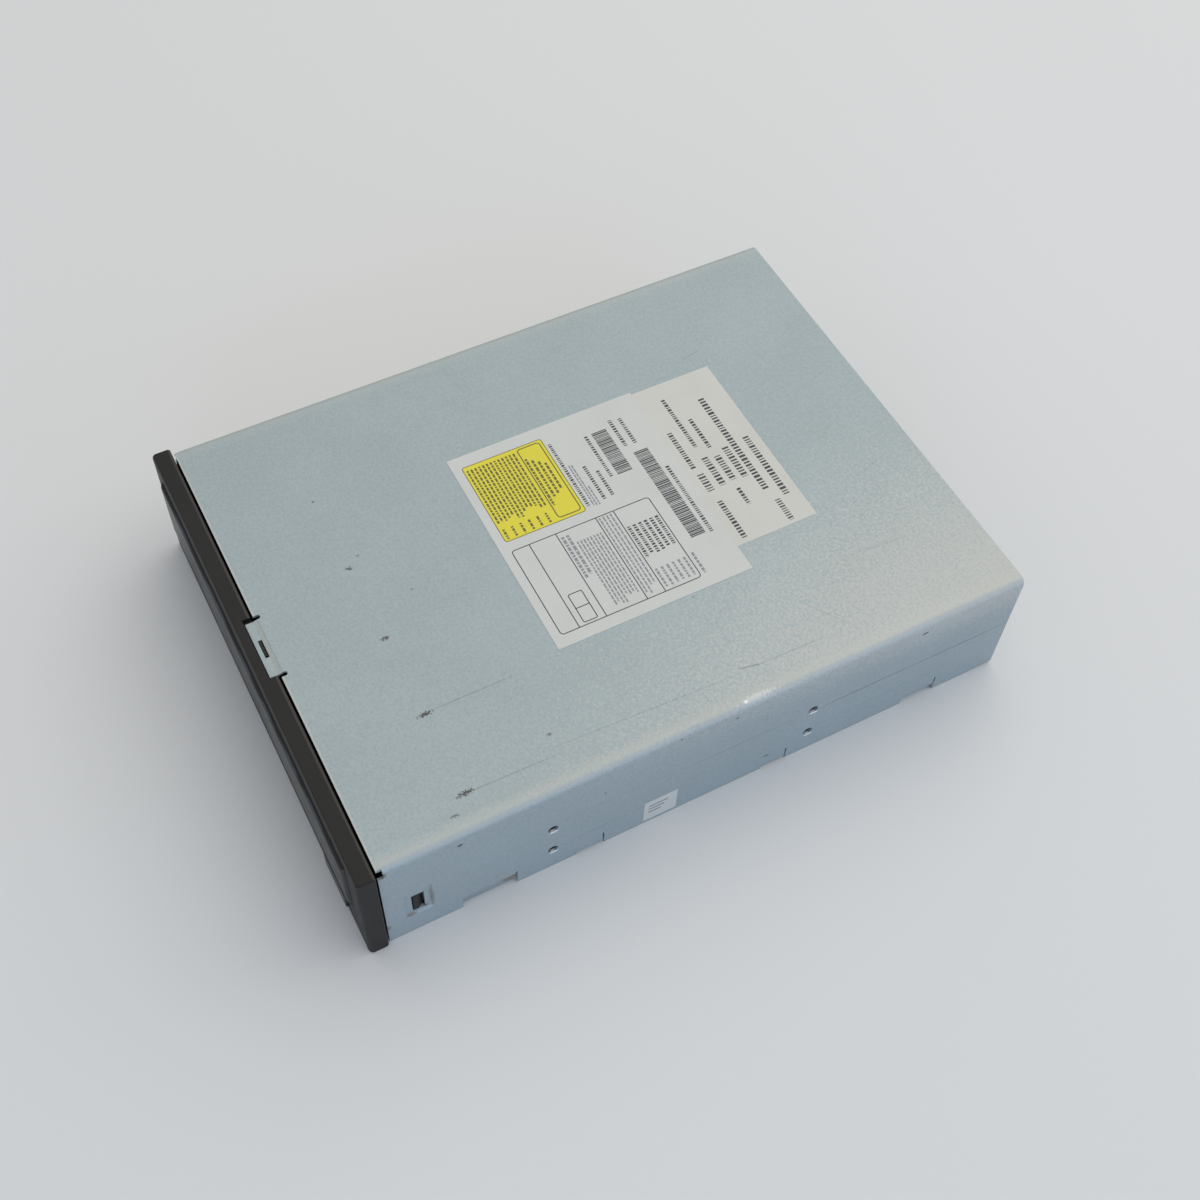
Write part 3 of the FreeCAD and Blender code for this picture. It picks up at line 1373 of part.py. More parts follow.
def front_board():
    """Small board under the loader's front: eject switch, light and loading motor."""
    rear = cam_front_y - deck - 0.4
    board = block(motor_x - 16.0, button_x + 4.6, frame_front_y + 1.0, rear, foot_z, front_board_top)
    corner = block(button_x - 1.0, button_x + 6, 14.0, rear + 1, 0, 10)
    return cut(board, corner)


def eject_switch():
    """Side-push switch behind the eject button."""
    front = switch_front_y()
    body = block(button_x - 3.0, button_x + 3.0, front, front + 3.5, front_board_top, button_z + 2.2)
    key = bar_y(button_x, front - 0.3, front + 0.5, button_z, 1.2)
    return joined(body, key)


def status_led():
    """Light-emitting diode on bent legs, behind the light pipe."""
    front = frame_front_y + 0.2
    lamp = bar_y(lamp_x, front, front + 4.0, lamp_z, 1.45)
    legs = [block(lamp_x + side * 1.0 - 0.25, lamp_x + side * 1.0 + 0.25, front + 3.2, front + 3.7,
                  front_board_top, lamp_z) for side in (-1, 1)]
    return joined(lamp, *legs)


def main_board():
    """Control board on the bottom plate, with round screw holes and cleared corners."""
    rear = connector_front_y + connector_depth - 1.6
    board = block(-board_half, board_half, board_front_y, rear, main_board_z, main_board_top)
    wing = block(power_centre_x - 10.8, 1.0 - board_half, rear - 17.0, rear, main_board_z, main_board_top)
    holes = [post(x, y, 0, beyond, board_screw[0] + 0.1) for x, y in board_screw_places()]
    return cut(joined(board, wing), *holes)


def chip(x, y, width, depth, height):
    """Flat chip package with broken edges, on the main board."""
    low = main_board_top + 0.1
    body = block(x - width / 2, x + width / 2, y - depth / 2, y + depth / 2, low, low + height)
    return body.makeChamfer(0.3, [edge for edge in body.Edges
                                  if edge.BoundBox.ZMin > low + height - 0.01])


def controller_chip():
    """Main controller."""
    return chip(*controller_place, controller_side, controller_side, 1.6)


def driver_chip():
    """Motor driver with its two heat tabs."""
    x, y = driver_place
    tab_half = driver_size[0] / 2.0 + 2.5
    tabs = block(x - tab_half, x + tab_half, y - 2.4, y + 2.4, main_board_top + 0.1, main_board_top + 0.5)
    return joined(chip(x, y, *driver_size, 1.9), tabs)


def memory_chips():
    """Buffer memory and program memory."""
    return [chip(x, board_front_y + back, width, depth, height)
            for x, back, width, depth, height in memory_sizes]


def capacitors():
    """Upright electrolytic capacitors near the connectors."""
    cans = []
    for x, radius in capacitor_sizes:
        top = main_board_top + capacitor_height + radius
        cans.append(broken_rim(post(x, frame_rear_y + radius + 1.5, main_board_top, top, radius), top, 0.4))
    return cans


def shroud(outline, wall, floor):
    """Open connector housing on the board's rear edge."""
    x0, x1, top = outline
    y0, y1 = connector_front_y, connector_front_y + connector_depth
    body = block(x0, x1, y0, y1, main_board_top, top)
    mouth = block(x0 + wall, x1 - wall, y0 + floor, y1 + 1, main_board_top + wall, top - wall)
    return cut(body, mouth)


def ide_connector():
    """Forty-way pin header housing with its key slot."""
    outline = connector_outlines()[0]
    housing = shroud(outline, connector_wall, 2.6)
    key = block(ide_centre_x - 2.2, ide_centre_x + 2.2, connector_front_y + 2.6,
                connector_front_y + connector_depth + 1, main_board_top + 4.5, main_board_top + 12)
    return cut(housing, key, *[pin_hole(pin) for pin in ide_pin_places()])


def ide_pin_places():
    """Pin centres of the data connector, without the blanked one."""
    middle = main_board_top + ide_height / 2.0
    places = []
    for row in (-0.5, 0.5):
        for column in range(ide_columns):
            if row > 0 and column == ide_columns // 2 - 1:
                continue
            x = ide_centre_x + (column - (ide_columns - 1) / 2.0) * pin_pitch
            places.append((x, middle + row * pin_pitch))
    return places


def pin_hole(place):
    """Hole of a square pin in its housing."""
    x, z = place
    half = pin_half
    return block(x - half, x + half, connector_front_y - 1, connector_front_y + 4, z - half, z + half)


def square_pin(place, y_end):
    """Square contact pin that points to the rear."""
    x, z = place
    return block(x - pin_half, x + pin_half, connector_front_y + 0.6, y_end, z - pin_half, z + pin_half)


def ide_pins():
    """Contact pins of the data connector."""
    end = connector_front_y + connector_depth - 1.4
    return [square_pin(place, end) for place in ide_pin_places()]


def power_connector():
    """Four-way power housing with its two bevelled corners."""
    x0, x1, top = connector_outlines()[1]
    y0, y1 = connector_front_y - power_neck, connector_front_y + connector_depth
    bevel = power_bevel
    outer = lengthwise([(x0, main_board_top), (x1, main_board_top), (x1, top - bevel),
                        (x1 - bevel, top), (x0 + bevel, top), (x0, top - bevel)], y0, y1)
    wall = connector_wall
    slope = bevel + wall * (math.sqrt(2) - 1) - wall * 0.2
    mouth = lengthwise([(x0 + wall, main_board_top + wall), (x1 - wall, main_board_top + wall),
                        (x1 - wall, top - slope), (x1 - slope, top - wall),
                        (x0 + slope, top - wall), (x0 + wall, top - slope)], y0 + 3.0, y1 + 1)
    holes = [bar_y(x, y0 - 1, y0 + 4, power_pin_z(), power_pin_radius) for x in power_pin_places()]
    return cut(outer, mouth, *holes)


def power_pin_z():
    """Height of the power pins."""
    return main_board_top + power_height / 2.0


def power_pin_places():
    """Places of the power pins along X."""
    return [power_centre_x + (number - 1.5) * power_pitch for number in range(4)]


def power_pins():
    """Round pins of the power connector."""
    y0 = connector_front_y - 4.4
    return [bar_y(x, y0, connector_front_y + connector_depth - 2.0, power_pin_z(), power_pin_radius)
            for x in power_pin_places()]


def audio_connector():
    """Four-way analogue sound connector."""
    outline = connector_outlines()[3]
    housing = shroud(outline, connector_wall, 2.6)
    keys = [block(audio_centre_x + side * 3.6 - 0.8, audio_centre_x + side * 3.6 + 0.8,
                  connector_front_y + 3, connector_front_y + connector_depth + 1,
                  main_board_top + 4, main_board_top + 12) for side in (-1, 1)]
    return cut(housing, *keys, *[pin_hole(place) for place in audio_pin_places()])


def audio_pin_places():
    """Pin centres of the sound connector."""
    middle = main_board_top + audio_height / 2.0
    return [(audio_centre_x + (number - 1.5) * pin_pitch, middle) for number in range(4)]


def audio_pins():
    """Contact pins of the sound connector."""
    end = connector_front_y + connector_depth - 1.4
    return [square_pin(place, end) for place in audio_pin_places()]


def jumper_block():
    """Base of the mode jumper's pins, open to the rear."""
    x0, x1, top = connector_outlines()[2]
    base = block(x0, x1, connector_front_y, connector_front_y + 3.4, main_board_top, top)
    return cut(base, *[pin_hole(place) for place in jumper_pin_places()])


def jumper_pin_places():
    """Pin centres of the mode jumper."""
    middle = main_board_top + jumper_height / 2.0
    return [(jumper_centre_x + (column - 1) * pin_pitch, middle + row * pin_pitch)
            for row in (-0.5, 0.5) for column in range(3)]


def jumper_pins():
    """Pins of the mode jumper."""
    end = connector_front_y + connector_depth - 0.9
    return [square_pin(place, end) for place in jumper_pin_places()]


def jumper_cap():
    """Small cap that joins the last pair of jumper pins."""
    x = jumper_centre_x + pin_pitch
    y0, y1 = connector_front_y + 3.7, connector_front_y + connector_depth - 0.2
    z0, z1 = main_board_top + 1.2, main_board_top + 6.3
    cap = block(x - 1.1, x + 1.1, y0, y1, z0, z1)
    return cut(cap, *[block(px - pin_half, px + pin_half, y0 - 1, y1 - 0.6, pz - pin_half, pz + pin_half)
                      for px, pz in jumper_pin_places() if abs(px - x) < 0.1])


def cable_sockets():
    """Flat-cable sockets: one under the front board, the others on the main board."""
    y0 = board_front_y + 3.0
    y1 = y0 + socket_depth
    front = block(*cable_socket_x, front_socket_y, front_socket_y + socket_depth,
                  foot_z - socket_height, foot_z)
    others = [block(*ends, y0, y1, main_board_top, main_board_top + socket_height)
              for ends in (cable_socket_x, sled_socket_x)]
    return [front, *others]


def ribbon_cable():
    """Flat cable between the boards, lying on the bottom plate."""
    low = foot_z - 0.8
    thick = cable_thick
    start = front_socket_y + socket_depth
    y = board_front_y
    top = main_board_top + 0.5
    outline = [(start, low), (y - 2.6, low), (y - 1.2, low + 1.6), (y - 1.2, top - 0.6), (y - 0.2, top),
               (y + 3.0, top), (y + 3.0, top + thick), (y - 0.4, top + thick),
               (y - 1.2 - thick, top - 0.5), (y - 1.2 - thick, low + 1.7), (y - 2.7, low + thick),
               (start, low + thick)]
    return across(outline, cable_socket_x[0] + 1.5, cable_socket_x[1] - 1.5)


def hinge_bushes():
    """Rubber bushes of the chassis's trunnions."""
    bush = cut(bar_x(bush_inner_x, bush_inner_x + bush_width, hinge_y, hinge_z, bush_radius),
               bar_x(bush_inner_x - 1, bush_inner_x + bush_width + 1, hinge_y, hinge_z,
                     trunnion_radius + gap_run))
    return on_both_sides(bush)


def screw(x, y, head_z, way, size):
    """Pan-head screw; way is +1 where it points up."""
    shank_radius, head_radius, length = size
    head = Part.makeCylinder(head_radius, screw_head, V(x, y, head_z), V(0, 0, -way))
    shank = Part.makeCylinder(shank_radius, length, V(x, y, head_z), V(0, 0, way))
    return joined(head, shank)


def bottom_screws():
    """Screws from the bottom plate into the loader chassis."""
    return [screw(x, y, dish_height, 1, large_screw) for x, y in frame_foot_places()]


def board_screws():
    """Screws of the main board."""
    return [screw(x, y, main_board_top, -1, board_screw) for x, y in board_screw_places()]


def bridge_screws():
    """Screws of the clamp bridge."""
    return [screw(x, y, bridge_top_z, -1, bridge_screw) for x, y in bridge_screw_places()]


def motor_screws():
    """Screws of the loading motor."""
    z = front_board_top + 0.2 + motor_height + deck
    return [screw(x, y, z, -1, motor_screw) for x, y in motor_screw_places()]


def spindle_screws():
    """Screws of the spindle motor's base."""
    z = chassis_low_z - 1.2
    return [screw(x, y, z, 1, spindle_screw) for x, y in spindle_screw_places()]


def all_nodes():
    """Every node by name, in the working frame."""
    fixed = {
        "top_cover": top_cover(),
        "bottom_plate": bottom_plate(),
        "front_bezel": front_bezel(),
        "light_pipe": light_pipe(),
        "main_frame": main_frame(),
        "clamp_bridge": clamp_bridge(),
        "loading_motor": loading_motor(),
        "loading_belt": loading_belt(),
        "hinge_bushes": hinge_bushes(),
        "front_board": front_board(),
        "eject_switch": eject_switch(),
        "status_led": status_led(),
        "main_board": main_board(),
        "controller_chip": controller_chip(),
        "driver_chip": driver_chip(),
        "memory_chips": memory_chips(),
        "capacitors": capacitors(),
        "ide_connector": ide_connector(),
        "ide_pins": ide_pins(),
        "power_connector": power_connector(),
        "power_pins": power_pins(),
        "audio_connector": audio_connector(),
        "audio_pins": audio_pins(),
        "jumper_block": jumper_block(),
        "jumper_pins": jumper_pins(),
        "jumper_cap": jumper_cap(),
        "cable_sockets": cable_sockets(),
        "ribbon_cable": ribbon_cable(),
        "bottom_screws": bottom_screws(),
        "board_screws": board_screws(),
        "bridge_screws": bridge_screws(),
        "motor_screws": motor_screws(),
    }
    moving = {
        "tray": tray(),
        "tray_front": tray_front(),
        "eject_button": eject_button(),
        "drive_gear": drive_gear(),
        "pulley_gear": pulley_gear(),
        "motor_pulley": motor_pulley(),
        "cam_slider": cam_slider(),
        "clamper": clamper(),
        "clamp_magnet": clamp_magnet(),
        "clamper_cap": clamper_cap(),
    }
    swinging = {
        "traverse_frame": traverse_frame(),
        "spindle_motor": spindle_motor(),
        "spindle_screws": spindle_screws(),
        "rotor_can": rotor_can(),
        "turntable": turntable(),
        "turntable_ring": turntable_ring(),
        "guide_rail_left": guide_rail(-rail_x),
        "guide_rail_right": guide_rail(rail_x),
        "lead_screw": lead_screw(),
        "sled_motor": sled_motor(),
        "lead_nut": lead_nut(),
        "pickup_body": pickup_body(),
        "lens_cover": lens_cover(),
        "lens_holder": lens_holder(),
        "objective_lens": objective_lens(),
    }
    lowered_nodes = {name: [lowered(solid) for solid in as_solids(shape)]
                     for name, shape in swinging.items()}
    return {**fixed, **moving, **lowered_nodes}


def as_solids(shape):
    """The solids of a shape or of a list of shapes."""
    shapes = shape if isinstance(shape, list) else [shape]
    return [solid for one in shapes for solid in one.Solids]


def main():
    """Build every node, centre the drive over the origin and write the files."""
    os.makedirs("parts", exist_ok=True)
    shift = V(0, -(door_front_y + cover_depth) / 2.0, 0)
    for name, shape in all_nodes().items():
        solids = as_solids(shape)
        for solid in solids:
            solid.translate(shift)
        node = solids[0] if len(solids) == 1 else Part.makeCompound(solids)
        node.exportStep(f"parts/{name}.step")
        print(f"{name}: {len(solids)} solids, {node.Volume:.1f} mm3, valid {node.isValid()}")
    print(f"drive {2 * cover_half:.2f} wide, {drive_height:.2f} high, {cover_depth:.2f} deep")
    print(f"centre moved by {shift.y:.3f} along Y")


main()
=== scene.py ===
"""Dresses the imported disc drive: finishes, paper labels, screws, thread and the studio.

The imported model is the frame. Lengths in this file are millimetres until they reach a mesh,
X runs to the drive's right, Y to the rear and Z up. Y = 0 is the front edge of the steel cover.
"""

import json
import logging
import math
import random
from dataclasses import dataclass
from enum import Enum
from typing import Iterable, Sequence

import bmesh
import bpy
from mathutils import Matrix, Vector


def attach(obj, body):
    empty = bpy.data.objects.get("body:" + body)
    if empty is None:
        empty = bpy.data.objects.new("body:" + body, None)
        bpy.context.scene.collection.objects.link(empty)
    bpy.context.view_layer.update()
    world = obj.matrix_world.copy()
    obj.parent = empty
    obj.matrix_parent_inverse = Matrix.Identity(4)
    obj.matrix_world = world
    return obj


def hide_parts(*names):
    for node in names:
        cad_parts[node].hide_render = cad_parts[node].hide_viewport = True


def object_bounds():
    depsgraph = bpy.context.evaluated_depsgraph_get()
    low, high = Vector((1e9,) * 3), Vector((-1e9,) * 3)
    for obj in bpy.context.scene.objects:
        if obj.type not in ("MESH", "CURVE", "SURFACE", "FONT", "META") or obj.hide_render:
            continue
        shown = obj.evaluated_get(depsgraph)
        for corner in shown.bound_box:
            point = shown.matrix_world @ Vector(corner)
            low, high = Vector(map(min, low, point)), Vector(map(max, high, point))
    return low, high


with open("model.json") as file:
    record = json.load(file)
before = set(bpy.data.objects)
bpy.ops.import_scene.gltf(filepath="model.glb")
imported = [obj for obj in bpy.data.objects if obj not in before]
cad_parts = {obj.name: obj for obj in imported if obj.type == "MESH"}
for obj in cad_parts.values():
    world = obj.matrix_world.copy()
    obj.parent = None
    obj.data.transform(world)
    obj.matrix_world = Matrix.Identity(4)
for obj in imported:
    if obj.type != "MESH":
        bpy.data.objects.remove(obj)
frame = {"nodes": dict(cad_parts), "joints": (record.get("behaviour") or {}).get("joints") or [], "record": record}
cad_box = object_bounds()

logging.basicConfig(level=logging.INFO, format="%(message)s")
log = logging.getLogger("drive")

MM = 0.001
COVER_FRONT_Y = -92.5
COVER_HALF = 73.0
COVER_HEIGHT = 41.5
COVER_DEPTH = 192.0
LIFT_ANGLE = math.radians(5.5)
INK_HEIGHT = 0.012
FLOOR_GAP = 0.1
SAME_HEIGHT = 1e-6
# Takes a vertex off an axis, so that it has a sign, in metres.
NUDGE = 1e-9
MIX_FACTOR, MIX_A, MIX_B, MIX_RESULT = 0, 6, 7, 2

Point = tuple[float, float, float]
Rows = tuple[tuple[float, float, float, float], ...]
Span = Sequence[float]
Mesh = bmesh.types.BMesh
Node = bpy.types.Node
Socket = bpy.types.NodeSocket
Tree = bpy.types.NodeTree


def place(x: float, y: float, z: float) -> Vector:
    """Turns a place on the drive into the frame's metres.

    Args:
        x: Millimetres to the right of the middle.
        y: Millimetres behind the cover's front edge.
        z: Millimetres above the underside.

    Returns:
        The point in metres.
    """
    return Vector((x, y + COVER_FRONT_Y, z)) * MM


def linear(code: str) -> tuple[float, float, float, float]:
    """Turns an sRGB hex colour into a linear one.

    Args:
        code: Six hex digits.

    Returns:
        Linear red, green, blue and an alpha of 1.
    """
    parts = [int(code[i:i + 2], 16) / 255 for i in (0, 2, 4)]
    values = [p / 12.92 if p <= 0.04045 else ((p + 0.055) / 1.055) ** 2.4 for p in parts]
    return (values[0], values[1], values[2], 1.0)


def add_node(tree: Tree, kind: str, settings: dict | None = None, links: dict | None = None) -> Node:
    """Adds a node with its settings and links.

    Args:
        tree: Node tree that takes the node.
        kind: Blender's name for the node's type.
        settings: Properties by name, and input values by socket number.
        links: Output sockets by the number or name of the input that they feed.

    Returns:
        The new node.
    """
    node = tree.nodes.new(kind)
    for key, value in (settings or {}).items():
        if isinstance(key, int):
            node.inputs[key].default_value = value
        else:
            setattr(node, key, value)
    for key, output in (links or {}).items():
        tree.links.new(output, node.inputs[key])
    return node


def per_mm(size: float) -> float:
    """Texture scale whose features are that many millimetres apart."""
    return 1.0 / (size * MM)


class Wear(Enum):
    """How much handling a finish has seen."""

    NEW = 0.0
    LIGHT = 0.35
    USED = 1.0


@dataclass(frozen=True)
class Mark:
    """A scuff, scratch, stain, patch of wear, painted highlight or painted shade: a ragged ellipse laid over a
    finish.
    """

    centre: Point
    reach: Point
    colour: str = "4C463E"
    strength: float = 0.7
    turn: Point = (0.0, 0.0, 0.0)
    ragged: float = 0.7
    soft: float = 0.35
    grit: float = 0.7


@dataclass(frozen=True)
class Surface:
    """A material's nodes while a finish is laid on it."""

    tree: Tree
    shader: Node
    coords: Socket

    def noise(self, size: float, detail: float = 3.0, low: float = 0.35, high: float = 0.65,
              stretch: Point | None = None) -> Socket:
        """Noise of a real size, stretched to run from 0 to 1.

        Args:
            size: Distance between features in millimetres.
            detail: Octaves of finer noise.
            low: Noise value that becomes 0.
            high: Noise value that becomes 1.
            stretch: Scale along each axis, for lines that a roll or a tool leaves.

        Returns:
            The stretched value.
        """
        coords = self.coords
        if stretch:
            coords = add_node(self.tree, "ShaderNodeMapping", {3: stretch}, {0: coords}).outputs[0]
        raw = add_node(self.tree, "ShaderNodeTexNoise", {2: per_mm(size), 3: detail}, {0: coords})
        ranged = add_node(self.tree, "ShaderNodeMapRange", {1: low, 2: high}, {0: raw.outputs[0]})
        return ranged.outputs[0]

    def tint(self, base: Socket | str, other: str, value: Socket, share: float = 1.0,
             low: float = 0.0, high: float = 1.0) -> Socket:
        """Lays a second colour over a base where a value says so.

        Args:
            base: Colour below, as a socket or a hex code.
            other: Hex code of the second colour.
            value: What decides where the second colour shows.
            share: Most of the second colour that shows.
            low: Value where none of it shows.
            high: Value where its whole share shows.

        Returns:
            The mixed colour.
        """
        cover = add_node(self.tree, "ShaderNodeMapRange", {1: low, 2: high, 4: share}, {0: value})
        settings = {"data_type": "RGBA", MIX_B: linear(other)}
        links = {MIX_FACTOR: cover.outputs[0]}
        if isinstance(base, str):
            settings[MIX_A] = linear(base)
        else:
            links[MIX_A] = base
        return add_node(self.tree, "ShaderNodeMix", settings, links).outputs[MIX_RESULT]

    def feed(self, socket: str, value: Socket) -> None:
        """Feeds a value or a colour to one of the shader's sockets."""
        self.tree.links.new(value, self.shader.inputs[socket])

    def roughen(self, value: Socket, low: float, high: float) -> None:
        """Lets a value from 0 to 1 set the roughness between two limits."""
        rough = add_node(self.tree, "ShaderNodeMapRange", {3: low, 4: high}, {0: value})
        self.feed("Roughness", rough.outputs[0])

    def bump(self, height: Socket, depth: float) -> None:
        """Raises the surface by a height from 0 to 1; 1 stands for the depth in millimetres."""
        relief = add_node(self.tree, "ShaderNodeBump", {0: 1.0, 1: depth * MM}, {"Height": height})
        self.feed("Normal", relief.outputs[0])


@dataclass(frozen=True)
class Finish:
    """A surface that a maker would name, dressed by nodes."""

    name: str
    colour: str
    roughness: float
    metallic: float = 0.0
    marks: tuple[Mark, ...] = ()

    def material(self) -> bpy.types.Material:
        """Builds the material.

        Returns:
            A new node material with this finish's name.
        """
        material = bpy.data.materials.new(self.name)
        material.use_nodes = True
        tree = material.node_tree
        shader = tree.nodes["Principled BSDF"]
        shader.inputs["Base Color"].default_value = linear(self.colour)
        shader.inputs["Roughness"].default_value = self.roughness
        shader.inputs["Metallic"].default_value = self.metallic
        self.dress(Surface(tree, shader, add_node(tree, "ShaderNodeTexCoord").outputs["Object"]))
        return material

    def dress(self, surface: Surface) -> None:
        """Adds this finish's own nodes; a plain finish has none."""

    def lay_wear_and_painted_light(self, surface: Surface, colour: Socket) -> Socket:
        """Lays this finish's marks over its colour: wear and stains, together with painted highlights and shade.

        Args:
            surface: What the marks are laid on.
            colour: Colour without marks.

        Returns:
            The marked colour.
        """
        tree, coords = surface.tree, {0: surface.coords}
        grits: dict[float, Socket] = {}
        for mark in self.marks:
            if mark.grit not in grits:
                grits[mark.grit] = add_node(tree, "ShaderNodeTexNoise", {2: per_mm(mark.grit), 3: 3.0},
                                            coords).outputs[0]
            local = add_node(tree, "ShaderNodeMapping", {
                "vector_type": "TEXTURE", 1: place(*mark.centre), 2: mark.turn,
                3: Vector(mark.reach) * MM}, coords)
            far = add_node(tree, "ShaderNodeVectorMath", {"operation": "LENGTH"}, {0: local.outputs[0]})
            uneven = add_node(tree, "ShaderNodeMath", {"operation": "MULTIPLY_ADD", 1: mark.ragged},
                              {0: grits[mark.grit], 2: far.outputs["Value"]})
            rim = 1.0 + 0.5 * mark.ragged
            colour = surface.tint(colour, mark.colour, uneven.outputs[0], mark.strength,
                                  rim + mark.soft / 2, rim - mark.soft / 2)
        return colour


@dataclass(frozen=True)
class GalvanisedSheet(Finish):
    """Zinc-coated sheet steel, skin-passed and passivated: an even satin grey with a fine pale grain."""

    mottle: str = "87908F"
    mottle_size: float = 24.0
    mottle_share: float = 0.22
    grain: str = "E4E8E6"
    grain_size: float = 0.7
    roll_size: float = 1.2
    roll_stretch: Point = (1.0, 0.02, 1.0)
    roll_sheen: float = 0.012
    depth: float = 0.004
    wear: Wear = Wear.LIGHT

    def dress(self, surface: Surface) -> None:
        """Adds mottle, grain, rolling lines and its marks: wear and stains, and on the cover painted highlights
        and shade.

        Args:
            surface: What the finish is laid on.
        """
        mottle = surface.noise(self.mottle_size, 4.0, 0.3, 0.7)
        grain = surface.noise(self.grain_size, 2.0)
        colour = surface.tint(self.colour, self.mottle, mottle, self.mottle_share)
        colour = surface.tint(colour, self.grain, grain, 0.04 + 0.06 * self.wear.value)
        surface.feed("Base Color", self.lay_wear_and_painted_light(surface, colour))
        lines = surface.noise(self.roll_size, 2.0, stretch=self.roll_stretch)
        surface.roughen(lines, self.roughness - self.roll_sheen, self.roughness + self.roll_sheen)
        surface.bump(grain, self.depth)


@dataclass(frozen=True)
class MouldedPlastic(Finish):
    """Injection-moulded plastic from a spark-eroded tool: fine even grain, a little dust."""

    grain: float = 0.45
    depth: float = 0.012
    dust: str = "6E6A66"
    dusty: float = 0.05
    dust_size: float = 22.0
    dulled: float = 0.12
    gloss: float = 0.35

    def dress(self, surface: Surface) -> None:
        """Adds grain, dust and uneven gloss.

        Args:
            surface: What the finish is laid on.
        """
        surface.shader.inputs["Specular IOR Level"].default_value = self.gloss
        patches = surface.noise(self.dust_size, 4.0, 0.4, 0.75)
        grain = surface.noise(self.grain, 1.0)
        colour = surface.tint(self.colour, self.dust, patches, self.dusty)
        surface.feed("Base Color", self.lay_wear_and_painted_light(surface, colour))
        surface.roughen(patches, self.roughness, min(1.0, self.roughness + self.dulled))
        surface.bump(grain, self.depth)


@dataclass(frozen=True)
class BareMetal(Finish):
    """Plated, turned or ground metal with fine lines along one axis."""

    metallic: float = 1.0
    line_size: float = 0.25
    line_axis: Point = (1.0, 1.0, 0.03)
    line_depth: float = 0.003
    tarnish: str = "7A7468"
    tarnish_size: float = 9.0
    tarnish_share: float = 0.25

    def dress(self, surface: Surface) -> None:
        """Adds tool lines and faint tarnish.

        Args:
            surface: What the finish is laid on.
        """
        lines = surface.noise(self.line_size, 2.0, stretch=self.line_axis)
        cloud = surface.noise(self.tarnish_size, 3.0, 0.45, 0.8)
        surface.feed("Base Color", surface.tint(self.colour, self.tarnish, cloud, self.tarnish_share))
        surface.roughen(lines, self.roughness - 0.04, self.roughness + 0.08)
        surface.bump(lines, self.line_depth)


@dataclass(frozen=True)
class Rubber(Finish):
    """Moulded or ground rubber: matt, slightly bloomed."""

    bloom: str = "5A5A58"
    bloom_size: float = 3.0
    bloom_share: float = 0.2
    grain_size: float = 0.2

    def dress(self, surface: Surface) -> None:
        """Adds bloom and a fine ground grain.

        Args:
            surface: What the finish is laid on.
        """
        bloom = surface.noise(self.bloom_size, 4.0)
        surface.feed("Base Color", surface.tint(self.colour, self.bloom, bloom, self.bloom_share))
        surface.bump(surface.noise(self.grain_size, 2.0), 0.01)


@dataclass(frozen=True)
class BoardLaminate(Finish):
    """Solder-masked glass laminate: copper tracks show as paler bands under the mask."""

    track_pitch: float = 3.2
    track_height: float = 0.03
    copper: str = "2F7A4A"
    pad_pitch: float = 5.1
    pads: str = "C9C4AE"

    def dress(self, surface: Surface) -> None:
        """Adds tracks and tinned pads.

        Args:
            surface: What the finish is laid on.
        """
        tree, coords = surface.tree, {0: surface.coords}
        cells = add_node(tree, "ShaderNodeTexVoronoi", {
            "distance": "CHEBYCHEV", 2: per_mm(self.track_pitch)}, coords).outputs["Distance"]
        band = add_node(tree, "ShaderNodeMapRange", {1: 0.28, 2: 0.32}, {0: cells}).outputs[0]
        dots = add_node(tree, "ShaderNodeTexVoronoi", {
            2: per_mm(self.pad_pitch)}, coords).outputs["Distance"]
        pad = add_node(tree, "ShaderNodeMapRange", {1: 0.12, 2: 0.09}, {0: dots}).outputs[0]
        colour = surface.tint(surface.tint(self.colour, self.copper, band), self.pads, pad)
        surface.feed("Base Color", colour)
        surface.feed("Metallic", pad)
        surface.bump(band, self.track_height)


@dataclass(frozen=True)
class ClearPlastic(Finish):
    """Clear acrylic or coated lens glass; it lets light through and bends it."""

    index: float = 1.49
    passing: float = 0.9
    haze_size: float = 2.0
    haze: float = 0.06

    def dress(self, surface: Surface) -> None:
        """Sets the index and adds faint haze.

        Args:
            surface: What the finish is laid on.
        """
        surface.shader.inputs["IOR"].default_value = self.index
        surface.shader.inputs["Transmission Weight"].default_value = self.passing
        surface.roughen(surface.noise(self.haze_size, 3.0), self.roughness, self.roughness + self.haze)


@dataclass(frozen=True)
class CoatedPaper(Finish):
    """Coated label paper or its ink: smooth, with the faintest fibre and handling marks."""

    grime: str = "A8A294"
    grime_size: float = 14.0
    grime_share: float = 0.16
    fibre_size: float = 0.5
    fibre_depth: float = 0.004

    def dress(self, surface: Surface) -> None:
        """Adds fibre and grime.

        Args:
            surface: What the finish is laid on.
        """
        grime = surface.noise(self.grime_size, 5.0, 0.45, 0.8)
        surface.feed("Base Color", surface.tint(self.colour, self.grime, grime, self.grime_share))
        surface.bump(surface.noise(self.fibre_size, 3.0), self.fibre_depth)


